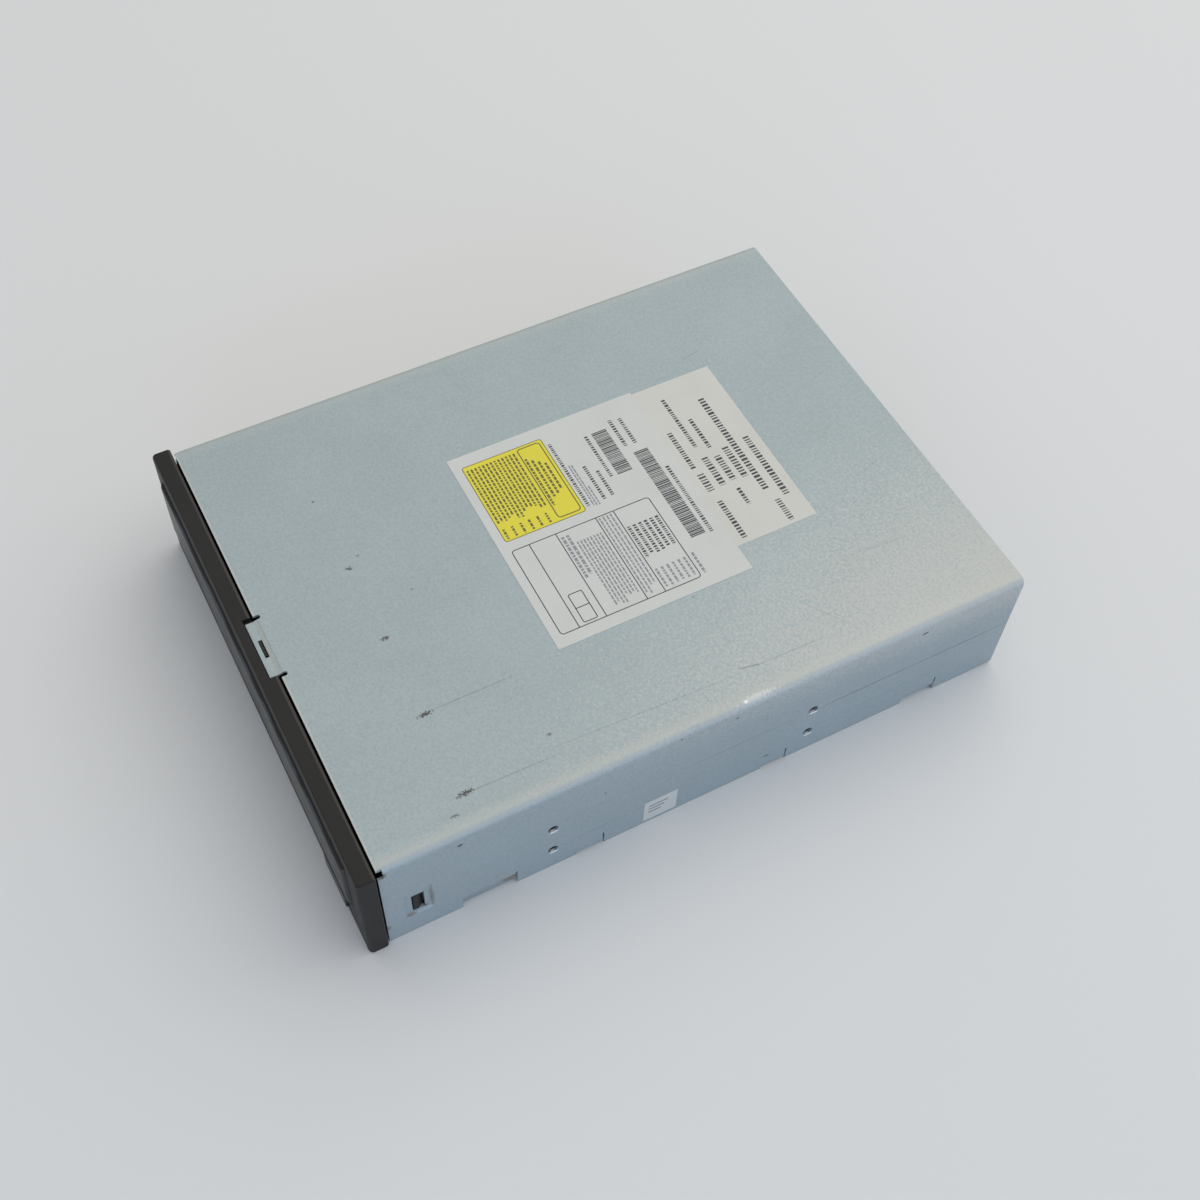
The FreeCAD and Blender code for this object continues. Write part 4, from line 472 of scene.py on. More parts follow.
def cover_marks() -> tuple[Mark, ...]:
    """The steel cover's wear and stains, where handling and the bay left them, and its painted highlights and
    painted shade.

    Returns:
        Marks on the top, the bends and the right side.
    """
    top, side = COVER_HEIGHT, COVER_HALF
    pale, cream, grey, rust, bright = "C0C3BE", "B8B9B0", "60686C", "6E5138", "F2F4F3"
    # The paler, grainier rear right of the top: partly the sheet's own grain, partly a painted highlight.
    marks = [Mark((112.0, 208.0, top), (66.0, 112.0, 9.0), pale, 0.4, ragged=2.2, soft=1.1, grit=0.55),
             Mark((102.0, 200.0, top), (60.0, 105.0, 9.0), "CAC2B6", 0.38, ragged=4.0, soft=0.8, grit=0.8)]
    # Cream over both bends: partly worn edges, partly the top's light painted down over the bend.
    marks += [Mark((x, 96.0, top), (3.8, 400.0, 1.25), cream, share, ragged=1.0, soft=0.8, grit=0.6)
              for x, share in ((side, 0.5), (-side, 0.3))]
    # A painted highlight along the cover's front edge.
    marks += [Mark((0.0, 0.0, top), (130.0, 0.55, 2.0), cream, 0.6, ragged=0.5, grit=1.6)]
    scuffs = [(-12.7, 28.6, 0.5, 0.9, 0.75), (-15.7, 32.4, 0.3, 0.35, 0.5), (12.3, 28.5, 0.5, 1.0, 0.8),
              (37.9, 28.4, 0.5, 1.8, 0.9), (62.9, 28.0, 0.55, 2.1, 0.9), (57.4, 54.0, 0.4, 0.6, 0.6),
              (67.4, 23.1, 0.35, 0.9, 0.6), (-38.2, 28.6, 0.35, 0.35, 0.6), (1.0, 41.0, 0.25, 0.5, 0.4),
              (37.1, 107.6, 0.4, 0.5, 0.45)]
    marks += [Mark((x, y, top), (wide, deep, 1.5), "3C332B", share, ragged=4.5, soft=0.7, grit=0.45)
              for x, y, wide, deep, share in scuffs]
    trails = [(37.6, 42.0, 12.0, 0.0, 0.4), (63.2, 40.0, 14.0, -0.02, 0.35),
              (62.4, 80.0, 27.0, -0.043, 0.28), (62.8, 110.0, 3.3, -0.184, 0.6),
              (63.5, 122.0, 11.0, -0.02, 0.3), (57.5, 137.0, 11.0, -0.96, 0.2),
              (45.0, 163.0, 9.0, -0.1, 0.25), (20.0, 176.0, 6.0, 0.3, 0.2), (-40.0, 150.0, 5.0, 0.2, 0.25)]
    marks += [Mark((x, y, top), (0.16, length, 1.5), grey, share, (0.0, 0.0, turn), ragged=0.3)
              for x, y, length, turn, share in trails]
    rows = [(142.5, 21.2, 15.0, 0.9, 0.0), (172.0, 21.0, 19.0, 0.8, 0.0),
            (104.0, 21.6, 20.0, 0.4, -0.02), (66.0, 23.6, 19.0, 0.22, -0.05),
            (62.0, 10.3, 14.0, 0.3, 0.0), (150.0, 11.6, 26.0, 0.25, 0.0)]
    marks += [Mark((side, y, z), (1.5, length, 0.16), "4C5357", share, (turn, 0.0, 0.0), ragged=0.3)
              for y, z, length, share, turn in rows]
    # Painted shade: dark spots where the side is dented.
    dent_shades = [(21.7, 36.7, 0.7, 0.55), (100.8, 37.4, 0.45, 0.35), (62.4, 28.8, 0.3, 0.3),
             (113.7, 6.6, 1.0, 0.3), (84.0, 39.5, 0.3, 0.25), (160.0, 37.0, 1.1, 0.4)]
    marks += [Mark((side, y, z), (1.5, deep, tall), "2A2826", 0.85) for y, z, deep, tall in dent_shades]
    # Painted highlights: white glints on the lower rims of the side's holes.
    marks += [Mark((side, y + 0.3, z - 1.75), (1.5, 1.3, 0.45), bright, 0.85, ragged=0.5)
              for y in (47.4, 126.64) for z in (21.84, 10.0)]
    # A painted white glint on the right bend, with pale speckles beside it.
    marks += [Mark((71.6, 103.7, top), (0.45, 0.55, 0.5), bright, 0.9),
              Mark((71.6, 107.0, top), (1.0, 4.5, 0.8), "E2E2DA", 0.4, ragged=4.0, soft=0.6, grit=0.5)]
    stains = [(12.9, 15.5, 0.7, 4.0, 0.4), (6.8, 9.6, 1.5, 0.5, 0.6), (11.2, 10.9, 0.7, 0.6, 0.6),
              (1.5, 38.9, 0.7, 0.9, 0.8), (0.4, 8.0, 0.5, 1.1, 0.6)]
    marks += [Mark((side, y, z), (2.5, deep, tall), rust, share, soft=0.8)
              for y, z, deep, tall, share in stains]
    return tuple(marks)


def bezel_marks() -> tuple[Mark, ...]:
    """Pale lines along the bezel's top edges; the front one is a painted highlight on the edge.

    Returns:
        Marks along its top edges.
    """
    pale_edge_line = "5A5650"
    return tuple(Mark((0.0, y, COVER_HEIGHT), (120.0, deep, 0.5), pale_edge_line, share, ragged=0.5, grit=4.0)
                 for y, deep, share in ((-1.0, 0.45, 0.35), (-5.9, 0.3, 0.5)))


def door_painted_highlights() -> tuple[Mark, ...]:
    """Painted highlights in stretches along the door's rounded upper edge.

    Returns:
        Marks along the edge, with the gaps between them that the real one has.
    """
    stretches = ((-48.0, 9.0), (-22.0, 12.0), (1.0, 6.5), (16.5, 6.5), (32.0, 7.5), (48.5, 8.0))
    return tuple(Mark((x, -6.9, 37.2), (half, 0.4, 0.4), "4C575F", 0.7, ragged=0.4, grit=2.0)
                 for x, half in stretches)


FINISHES: dict[str, Finish] = {
    # Passivated zinc: an even satin grey that takes the colour of what it leans towards.
    "cover_steel": GalvanisedSheet("galvanised_cover", "98A4A5", 0.5, 0.25, cover_marks(),
                                   wear=Wear.USED),
    # The same sheet, stained where damp sat in the notch.
    "plate_steel": GalvanisedSheet("galvanised_plate", "98A2A2", 0.47, 0.35,
                                   (Mark((72.1, 35.0, 3.4), (1.5, 2.2, 2.2), "8A6A48", 0.6),)),
    # Thicker pressed sheet that nobody touches: cleaner and more metallic.
    "chassis_steel": GalvanisedSheet("galvanised_chassis", "A3A9A8", 0.4, 0.6, wear=Wear.NEW),
    # Spark-eroded ABS: a warm matt black that greys with dust on its flats, with pale lines along its top edges,
    # the front one a painted highlight.
    "bezel_plastic": MouldedPlastic("textured_abs", "1A1816", 0.5, marks=bezel_marks(), gloss=0.28),
    # Finer ABS: a soft sheen along the door's rounded edge, with painted highlights in stretches along it.
    "door_plastic": MouldedPlastic("satin_abs", "1F1F20", 0.34, marks=door_painted_highlights(), depth=0.006,
                                   gloss=0.25),
    # The button's small flat shows as a slightly paler black.
    "button_plastic": MouldedPlastic("satin_abs_button", "211F1D", 0.36, depth=0.006),
    # Glass-filled chassis plastic: dull black with a coarse tool grain.
    "frame_plastic": MouldedPlastic("filled_ppe", "1C1C1D", 0.55),
    # The tray's textured black, a shade lighter than the chassis.
    "tray_plastic": MouldedPlastic("textured_tray_abs", "242426", 0.5),
    # Natural acetal: milky off-white with a waxy shine on the teeth.
    "gear_plastic": MouldedPlastic("acetal", "DAD8CF", 0.38, depth=0.003, dust="B8B4A6"),
    # Black acetal of the clamp: smoother and shinier than the chassis.
    "clamper_plastic": MouldedPlastic("acetal_black", "1F1F20", 0.4, depth=0.004),
    # Liquid-crystal polymer of the lens holder: flat dark grey.
    "holder_plastic": MouldedPlastic("lens_holder_lcp", "202022", 0.5),
    # Transfer-moulded chip bodies: matt, with the finest grain of all.
    "chip_epoxy": MouldedPlastic("moulded_epoxy", "1B1C1C", 0.6, grain=0.2),
    # Black nylon of the data connector: plain, slightly shiny.
    "ide_plastic": MouldedPlastic("black_nylon", "181818", 0.45, grain=0.3),
    # Ivory nylon of the power connector: yellowed a little by heat.
    "power_plastic": MouldedPlastic("ivory_nylon", "D2CCB8", 0.42, dust="A49C84"),
    # Natural nylon of small sockets: warm white.
    "socket_plastic": MouldedPlastic("natural_nylon", "DAD4C2", 0.42, dust="A49C84"),
    # White polyester of jumper blocks, and the slot that the labels go to.
    "jumper_plastic": MouldedPlastic("white_polyester", "D8D8D4", 0.35, depth=0.004),
    # Laminated flat cable: smooth white film.
    "cable_plastic": MouldedPlastic("laminated_film", "DADAD6", 0.3, depth=0.002),
    # Heat-shrunk sleeve of the capacitors: near black with a tight shine.
    "capacitor_sleeve": MouldedPlastic("shrunk_sleeve", "17171C", 0.3, depth=0.002),
    # Cast epoxy of the lamp: pale green and cloudy.
    "led_epoxy": ClearPlastic("cast_epoxy", "C4D2B0", 0.12, index=1.53, passing=0.7),
    # Clear acrylic light guide: glassy, with a pale edge.
    "clear_plastic": ClearPlastic("clear_acrylic", "E6EAEA", 0.1, index=1.49, passing=0.85),
    # Coated aspheric lens: blue cast, sharp highlight.
    "lens_glass": ClearPlastic("coated_lens", "AFC6F0", 0.03, index=1.6, passing=0.9),
    # Ground belt rubber: dead matt black.
    "belt_rubber": Rubber("ground_belt_rubber", "1A1A1A", 0.75),
    # Soft bushes: charcoal, bloomed grey in the folds.
    "bush_rubber": Rubber("bush_rubber", "2A2A2B", 0.7),
    # Silicone ring under the disc: mid grey that holds no shine.
    "ring_rubber": Rubber("turntable_rubber", "48484A", 0.72),
    # Nickel-plated motor cans: warm bright metal, drawn lines upwards.
    "motor_steel": BareMetal("nickel_plated_steel", "B4B3AC", 0.28, line_axis=(1.0, 1.0, 0.1)),
    # Ground rods: almost a mirror along their length.
    "rail_steel": BareMetal("ground_rod", "C8CACB", 0.14, line_axis=(1.0, 0.02, 1.0)),
    # Zinc-plated screws: bluish silver.
    "screw_steel": BareMetal("zinc_plated_steel", "A8ABAE", 0.3),
    # Gold flash on the audio and jumper pins: pale yellow glint.
    "pin_metal": BareMetal("gold_flash", "D8B25C", 0.24),
    # Tinned brass contacts: white metal, softer than nickel.
    "tinned_metal": BareMetal("tinned_brass", "C6C6C2", 0.26),
    # Turned brass pulley: yellow, lines round the axis.
    "pulley_brass": BareMetal("turned_brass", "C69C4A", 0.25),
    # Die-cast zinc of the pickup: grey, uneven and half matt.
    "sled_metal": BareMetal("diecast_zinc", "8E9092", 0.45, line_axis=(1.0, 1.0, 1.0),
                            line_size=0.6),
    # Sintered clamp magnet: dark grey with dull sparkle.
    "magnet": BareMetal("sintered_magnet", "6E6E70", 0.4, line_axis=(1.0, 1.0, 1.0)),
    # Laminated motor iron: brown grey, lines between the sheets.
    "stator_iron": BareMetal("laminated_iron", "6A6660", 0.45, line_axis=(0.05, 0.05, 1.0)),
    # Green solder mask: glossy, copper showing as paler bands, tinned dots.
    "board_laminate": BoardLaminate("solder_mask", "14532E", 0.35),
    # Coated label stock: cool white, flat.
    "paper_cool": CoatedPaper("coated_paper", "C5C6C0", 0.5),
    # Older label stock: white gone warm.
    "paper_warm": CoatedPaper("aged_paper", "C6C5BC", 0.5),
    # Printed inks: flat on the paper, each a step darker than its ground.
    "ink_yellow": CoatedPaper("yellow_ink", "D8CC2C", 0.45, grime="B8AA2C"),
    "ink_olive": CoatedPaper("olive_ink", "615B27", 0.45, grime="746D30"),
    "ink_black": CoatedPaper("black_ink", "35363A", 0.5, grime="4A4B50"),
    "ink_grey": CoatedPaper("grey_ink", "86888A", 0.5, grime="909294"),
}


class Palette:
    """The drive's materials, each built when it is first asked for."""

    def __init__(self) -> None:
        """Starts with no material built."""
        self.built: dict[str, bpy.types.Material] = {}

    def get(self, key: str) -> bpy.types.Material:
        """The material for a slot or an ink, built once.

        Args:
            key: Name of the slot or ink.

        Returns:
            The material.
        """
        if key not in self.built:
            self.built[key] = FINISHES[key].material()
        return self.built[key]


def put(name: str, data: bpy.types.ID) -> bpy.types.Object:
    """Puts a mesh, a lamp or a camera into the scene.

    Args:
        name: Name of the object.
        data: What it shows.

    Returns:
        The new object.
    """
    item = bpy.data.objects.new(name, data)
    bpy.context.scene.collection.objects.link(item)
    return item


class Builder:
    """Makes pieces, dresses CAD nodes and reports both."""

    def __init__(self, palette: Palette) -> None:
        """Keeps the palette.

        Args:
            palette: Finishes by slot.
        """
        self.palette = palette
        self.slots: dict[str, str] = {part["node"]: part["material_slot"]
                                      for part in frame["record"]["subparts"]}
        self.bodies: dict[str, str] = {node: body
                                       for body, nodes in frame["record"]["behaviour"]["bodies"].items()
                                       for node in nodes}

    def dress(self, *nodes: str) -> None:
        """Gives CAD nodes the finish of their record's slot.

        Args:
            nodes: Names of the nodes.
        """
        for name in nodes:
            node = frame["nodes"][name]
            finish = self.palette.get(self.slots[name])
            if not node.material_slots:
                node.data.materials.append(finish)
            for slot in node.material_slots:
                slot.material = finish
            log.info("%s wears %s", name, finish.name)

    def piece(self, name: str, mesh: Mesh, body: str, *keys: str,
              smooth: float = 40.0) -> bpy.types.Object:
        """Turns a bmesh into a piece that rides on a body.

        Args:
            name: Name of the piece.
            mesh: Its shape in metres; freed here.
            body: CAD body that carries it.
            keys: Slots or inks, in the order of the faces' material numbers.
            smooth: Edges flatter than this many degrees are shaded smooth.

        Returns:
            The new object.
        """
        data = bpy.data.meshes.new(name)
        mesh.normal_update()
        mesh.to_mesh(data)
        mesh.free()
        for key in keys:
            data.materials.append(self.palette.get(key))
        item = put(name, data)
        data.shade_smooth()
        data.set_sharp_from_angle(angle=math.radians(smooth))
        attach(item, body)
        log.info("%s rides on %s with %d faces", name, body, len(data.polygons))
        return item


def add_plate(mesh: Mesh, x: Span, y: Span, z: Span, ink: int = 0) -> list[bmesh.types.BMVert]:
    """Adds a thin box between limits in millimetres.

    Args:
        mesh: Shape that takes it.
        x: Left and right.
        y: Front and rear, from the cover's front edge.
        z: Underside and top.
        ink: Material number of its faces.

    Returns:
        Its corners.
    """
    low = place(x[0], y[0], z[0])
    high = place(x[1], y[1], z[1])
    made = bmesh.ops.create_cube(mesh, size=1.0)["verts"]
    bmesh.ops.transform(mesh, matrix=Matrix.LocRotScale((low + high) / 2, None, high - low), verts=made)
    for face in {face for vert in made for face in vert.link_faces}:
        face.material_index = ink
    return made


def add_rounded_plate(mesh: Mesh, x: Span, y: Span, z: Span, radius: float, ink: int = 0) -> None:
    """Adds a thin box whose upright edges are rounded.

    Args:
        mesh: Shape that takes it.
        x: Left and right in millimetres.
        y: Front and rear.
        z: Underside and top.
        radius: Corner radius in millimetres.
        ink: Material number of its faces.
    """
    corners = add_plate(mesh, x, y, z, ink)
    edges = [edge for edge in {edge for vert in corners for edge in vert.link_edges}
             if abs((edge.verts[0].co - edge.verts[1].co).normalized().z) > 0.9]
    bmesh.ops.bevel(mesh, geom=edges, offset=radius * MM, affect="EDGES", segments=5, profile=0.5,
                    material=-1)


def add_frame(mesh: Mesh, x: Span, y: Span, z: float, line: float, radius: float, ink: int) -> None:
    """Adds a printed frame with rounded corners.

    Args:
        mesh: Shape that takes it.
        x: Left and right in millimetres.
        y: Front and rear.
        z: Height of the surface that it is printed on.
        line: Width of its line.
        radius: Corner radius.
        ink: Material number of its faces.
    """
    middle = place((x[0] + x[1]) / 2, (y[0] + y[1]) / 2, z + INK_HEIGHT)
    half = Vector(((x[1] - x[0]) / 2 - radius, (y[1] - y[0]) / 2 - radius, 0)) * MM
    rim = bmesh.ops.create_circle(mesh, cap_ends=True, segments=24, radius=radius * MM)["verts"]
    for vert in rim:
        vert.co += Vector((math.copysign(half.x, vert.co.x + NUDGE),
                           math.copysign(half.y, vert.co.y + NUDGE), 0))
    bmesh.ops.translate(mesh, verts=rim, vec=middle)
    face = rim[0].link_faces[0]
    strips = bmesh.ops.inset_individual(mesh, faces=[face], thickness=line * MM, use_even_offset=True)
    for strip in strips["faces"]:
        strip.material_index = ink
    bmesh.ops.delete(mesh, geom=[face], context="FACES_ONLY")


@dataclass
class PaperLabels:
    """Paper labels of the cover, printed with plain frames, rules and bars."""

    front_x: tuple[float, float] = (-34.8, 35.9)
    front_y: tuple[float, float] = (67.6, 127.0)
    rear_x: tuple[float, float] = (-34.0, 27.8)
    rear_y: tuple[float, float] = (125.0, 152.8)
    panel_x: tuple[float, float] = (-30.7, -1.6)
    panel_y: tuple[float, float] = (70.3, 95.4)
    table_x: tuple[float, float] = (1.6, 32.3)
    table_y: tuple[float, float] = (70.2, 113.2)
    side_y: tuple[float, float] = (75.0, 85.2)
    side_z: tuple[float, float] = (1.2, 11.5)
    paper: float = 0.1
    ink: float = INK_HEIGHT
    gap: float = 0.2
    gap_share: float = 0.16
    seed: int = 7
    rear_notes: Rows = (
        (129.0, -16.0, -0.6, 1.5), (133.6, -28.0, -5.6, 1.2), (137.2, -18.0, -5.6, 1.2))
    rear_lines: Rows = (
        (129.2, 1.2, 8.0, 2.2), (133.4, -3.6, 7.4, 2.0), (137.0, -2.6, 8.2, 2.0),
        (140.6, -4.4, 8.0, 2.0), (143.6, -23.5, 15.4, 1.9), (148.0, -5.2, 18.6, 1.9),
        (129.6, 12.0, 26.4, 1.6), (136.9, 10.2, 17.2, 1.2), (144.6, 18.6, 26.6, 1.7))
    margin_lines: Rows = (
        (96.2, -27.6, -1.6, 0.95), (101.4, -16.0, -2.8, 1.0), (104.1, -12.9, -2.9, 1.0),
        (106.9, -25.6, -8.2, 0.95), (115.8, -28.0, -16.0, 1.1), (118.8, -27.4, -17.0, 1.1),
        (122.7, -5.7, 20.6, 1.1))
    margin_notes: Rows = (
        (97.9, -18.0, -1.7, 0.45), (98.7, -18.0, -1.7, 0.45), (99.6, -9.2, -1.7, 0.45),
        (114.2, 24.0, 31.6, 0.8))

    def build(self, builder: Builder) -> None:
        """Builds the three labels.

        Args:
            builder: Maker of pieces.
        """
        top = COVER_HEIGHT
        rear = bmesh.new()
        add_plate(rear, self.rear_x, self.rear_y, (top, top + self.paper * 0.6))
        self.print_rear(rear, top + self.paper * 0.6)
        builder.piece("label_rear", rear, "chassis", "paper_warm", "ink_black")
        front = bmesh.new()
        add_plate(front, self.front_x, self.front_y, (top, top + self.paper))
        self.print_panel(front, top + self.paper)
        self.print_table(front, top + self.paper)
        self.print_margin(front, top + self.paper)
        builder.piece("label_front", front, "chassis", "paper_cool", "ink_black", "ink_grey",
                              "ink_yellow", "ink_olive")
        self.build_side(builder)

    def print_rear(self, mesh: Mesh, z: float) -> None:
        """Prints the rear label's rules.

        Args:
            mesh: The label.
            z: Height of the paper.
        """
        self.rules(mesh, z, self.rear_notes, 0.6, 1)
        self.rules(mesh, z, self.rear_lines, 0.6, 1)

    def print_panel(self, mesh: Mesh, z: float) -> None:
        """Prints the yellow panel of the front label.

        Args:
            mesh: The label.
            z: Height of the paper.
        """
        flat = (z, z + self.ink)
        raised = z + self.ink
        left, right = self.panel_x
        front, rear = self.panel_y
        add_rounded_plate(mesh, self.panel_x, self.panel_y, flat, 0.9, 3)
        add_frame(mesh, (left, right), (front, rear), raised, 0.22, 0.9, 4)
        add_frame(mesh, (left + 0.8, right - 1.0), (rear - 8.3, rear - 0.9), raised, 0.34, 1.2, 4)
        text = [(front + 0.9 + 1.2 * n, left + 1.6, left + 23.2, 0.62) for n in range(13)]
        self.rules(mesh, raised, text, 1.0, 4)
        side = [(front + 1.0 + 2.6 * n, right - 4.4, right - 0.7, 0.7) for n in range(6)]
        self.rules(mesh, raised, side, 0.9, 4)
        head = [(rear - 7.6 + 1.5 * n, left + 5.0 + 1.2 * n, right - 5.0 - 1.6 * n, 0.75)
                for n in range(4)]
        self.rules(mesh, raised, head, 1.1, 4)

    def print_table(self, mesh: Mesh, z: float) -> None:
        """Prints the ruled table of the front label.

        Args:
            mesh: The label.
            z: Height of the paper.
        """
        left, right = self.table_x
        line = 0.28
        add_frame(mesh, self.table_x, self.table_y, z, line, 1.2, 1)
        for y in (75.6, 83.75, 96.2, 101.75):
            add_plate(mesh, (left + line, right - line), (y, y + line), (z, z + self.ink), 1)
        add_frame(mesh, (21.4, 31.4), (77.4, 81.8), z, line, 0.7, 1)
        add_plate(mesh, (26.2, 26.2 + line), (77.6, 81.6), (z, z + self.ink), 1)
        self.rules(mesh, z, [(84.6 + 1.5 * n, 3.6, 19.5, 0.9) for n in range(2)], 1.2, 2)
        self.rules(mesh, z, [(87.8 + 1.02 * n, 6.8, 31.0, 0.5) for n in range(8)], 1.3, 2)
        self.rules(mesh, z, [(97.0 + 1.15 * n, 2.3, 31.2, 0.5) for n in range(4)], 1.3, 2)
        self.rules(mesh, z, [(102.6 + 1.75 * n, 8.5, 20.5, 1.0) for n in range(6)], 0.5, 1)
        self.rules(mesh, z, [(102.7 + 1.75 * n, 24.4, 31.4, 0.7) for n in range(6)], 1.0, 2)

    def print_margin(self, mesh: Mesh, z: float) -> None:
        """Prints the bars and the rules around the panel and the table.

        Args:
            mesh: The label.
            z: Height of the paper.
        """
        self.rules(mesh, z, self.margin_lines, 0.45, 1)
        self.rules(mesh, z, self.margin_notes, 1.1, 2)
        self.bars(mesh, z, (-25.7, -8.5), (109.3, 114.0))
        self.bars(mesh, z, (-14.2, 20.3), (117.0, 121.5))

    def rules(self, mesh: Mesh, z: float, rows: Iterable[Span], piece: float, ink: int) -> None:
        """Prints broken rules.

        Args:
            mesh: The label.
            z: Height of the paper.
            rows: Place along Y, left end, right end and width of each rule.
            piece: Mean length of a rule's pieces.
            ink: Material number.
        """
        draw = random.Random(self.seed)
        for y, left, right, tall in rows:
            x = left
            end = right - draw.uniform(0.0, 0.12) * (right - left)
            while x < end:
                length = min(piece * draw.uniform(0.5, 1.5), end - x)
                add_plate(mesh, (x, x + length), (y, y + tall), (z, z + self.ink), ink)
                x += length + self.gap + self.gap_share * tall

    def bars(self, mesh: Mesh, z: float, x: Span, y: Span) -> None:
        """Prints a block of upright bars.

        Args:
            mesh: The label.
            z: Height of the paper.
            x: Left and right of the block.
            y: Front and rear of the block.
        """
        draw = random.Random(self.seed)
        at = x[0]
        while at < x[1] - 0.5:
            wide = draw.choice((0.24, 0.24, 0.36, 0.5))
            add_plate(mesh, (at, at + wide), y, (z, z + self.ink), 1)
            at += wide + draw.choice((0.18, 0.18, 0.3))

    def build_side(self, builder: Builder) -> None:
        """Builds the small seal on the right side.

        Args:
            builder: Maker of pieces.
        """
        mesh = bmesh.new()
        x = (COVER_HALF, COVER_HALF + self.paper * 0.6)
        add_plate(mesh, x, self.side_y, self.side_z)
        for row in range(3):
            z = self.side_z[1] - 2.4 - 1.7 * row
            ends = (self.side_y[0] + 1.4, self.side_y[1] - 3.0 - row)
            add_plate(mesh, (x[1], x[1] + self.ink), ends, (z - 0.7, z), 1)
        builder.piece("label_side", mesh, "chassis", "paper_warm", "ink_grey")


@dataclass
class Screws:
    """Pan-head screws of one node: cross recess, washer-like rim and a real thread."""

    node: str
    places: Sequence[Point]
    way: float
    shank: float
    head: float
    length: float
    head_height: float = 1.4
    pitch: float = 0.6
    tilt: bool = False
    dome: tuple[tuple[float, float], ...] = ((1.0, 0.0), (1.0, 0.75), (0.86, 0.95), (0.62, 1.0))
    recess: float = 0.5
    arm: float = 0.16
    recess_floor: float = 0.35
    recess_taper: float = 0.7

    def build(self, builder: Builder) -> None:
        """Builds the screws, in place of the node's plain ones.

        Args:
            builder: Maker of pieces.
        """
        mesh = bmesh.new()
        for spot in self.places:
            self.add_screw(mesh, spot)
        bmesh.ops.recalc_face_normals(mesh, faces=mesh.faces)
        item = builder.piece(self.node + "_cut", mesh, builder.bodies[self.node],
                             builder.slots[self.node], smooth=35.0)
        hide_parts(self.node)

    def add_screw(self, mesh: Mesh, spot: Point) -> None:
        """Adds one screw, pointing up from its head's seat.

        Args:
            mesh: Shape that takes it.
            spot: Middle of the head's seat.
        """
        before = set(mesh.verts)
        self.add_head(mesh)
        self.add_shank(mesh)
        made = [vert for vert in mesh.verts if vert not in before]
        turn = Matrix.Identity(4) if self.way > 0 else Matrix.Rotation(math.pi, 4, "X")
        stand = Matrix.Translation(place(*spot)) @ turn @ Matrix.Scale(MM, 4)
        if self.tilt:
            stand = swing() @ stand
        bmesh.ops.transform(mesh, matrix=stand, verts=made)

    def add_head(self, mesh: Mesh) -> None:
        """Adds the head, domed and with a cross cut into it; its seat is at z = 0.

        Args:
            mesh: Shape that takes it.
        """
        profile = [mesh.verts.new((wide * self.head, 0.0, -deep * self.head_height))
                   for wide, deep in self.dome]
        edges = [mesh.edges.new(pair) for pair in zip(profile, profile[1:])]
        bmesh.ops.spin(mesh, geom=profile + edges, cent=(0, 0, 0), axis=(0, 0, 1),
                       angle=2 * math.pi, steps=24, use_merge=True)
        recess, arm = self.recess * self.head, self.arm * self.head
        floor = -self.recess_floor * self.head_height
        cross = []
        for turn in range(4):
            way = Matrix.Rotation(turn * math.pi / 2, 3, "Z")
            cross += [way @ Vector((arm, arm, 0)), way @ Vector((recess, arm, 0))]
            cross[-2], cross[-1] = cross[-1], cross[-2]
            cross.insert(-2, way @ Vector((recess, -arm, 0)))
        top = [mesh.verts.new((p.x, p.y, -self.head_height)) for p in cross]
        rim = [mesh.edges.new((top[i], top[(i + 1) % len(top)])) for i in range(len(top))]
        face = mesh.faces.new(top)
        outer = [edge for edge in mesh.edges if edge.is_boundary and edge not in rim
                 and all(abs(vert.co.z + self.head_height) < SAME_HEIGHT for vert in edge.verts)]
        bmesh.ops.delete(mesh, geom=[face], context="FACES_ONLY")
        bmesh.ops.triangle_fill(mesh, use_beauty=True, use_dissolve=False, edges=rim + outer)
        lower = bmesh.ops.extrude_edge_only(mesh, edges=rim)["geom"]
        down = [item for item in lower if isinstance(item, bmesh.types.BMVert)]
        bmesh.ops.translate(mesh, verts=down, vec=(0, 0, floor + self.head_height))
        bmesh.ops.scale(mesh, verts=down, vec=(self.recess_taper, self.recess_taper, 1.0))
        lip = [item for item in lower if isinstance(item, bmesh.types.BMEdge)]
        bmesh.ops.contextual_create(mesh, geom=lip)

    def add_shank(self, mesh: Mesh) -> None:
        """Adds the threaded shank, from the head's seat up to its tip.

        Args:
            mesh: Shape that takes it.
        """
        root = self.shank - 0.35 * self.pitch
        start = [mesh.verts.new((root, 0.0, 0.0)), mesh.verts.new((self.shank, 0.0, self.pitch / 2)),
                 mesh.verts.new((root, 0.0, self.pitch))]
        edges = [mesh.edges.new(pair) for pair in zip(start, start[1:])]
        turns = int((self.length - self.pitch) / self.pitch)
        steps = 12
        bmesh.ops.spin(mesh, geom=start + edges, cent=(0, 0, 0), axis=(0, 0, 1),
                       dvec=(0, 0, self.pitch / steps), angle=2 * math.pi * turns, steps=steps * turns,
                       use_merge=False)
        core = bmesh.ops.create_cone(mesh, cap_ends=True, segments=12, radius1=root, radius2=root * 0.9,
                                     depth=self.length)["verts"]
        bmesh.ops.translate(mesh, verts=core, vec=(0, 0, self.length / 2))


def swing() -> Matrix:
    """Turn that lowers the level swinging chassis about its hinge.

    Returns:
        The matrix in metres.
    """
    hinge = next(joint for joint in frame["joints"] if joint["name"] == "traverse_lift")
    pivot = Vector(hinge["pos_m"])
    return (Matrix.Translation(pivot) @ Matrix.Rotation(LIFT_ANGLE, 4, "X")
            @ Matrix.Translation(-pivot))


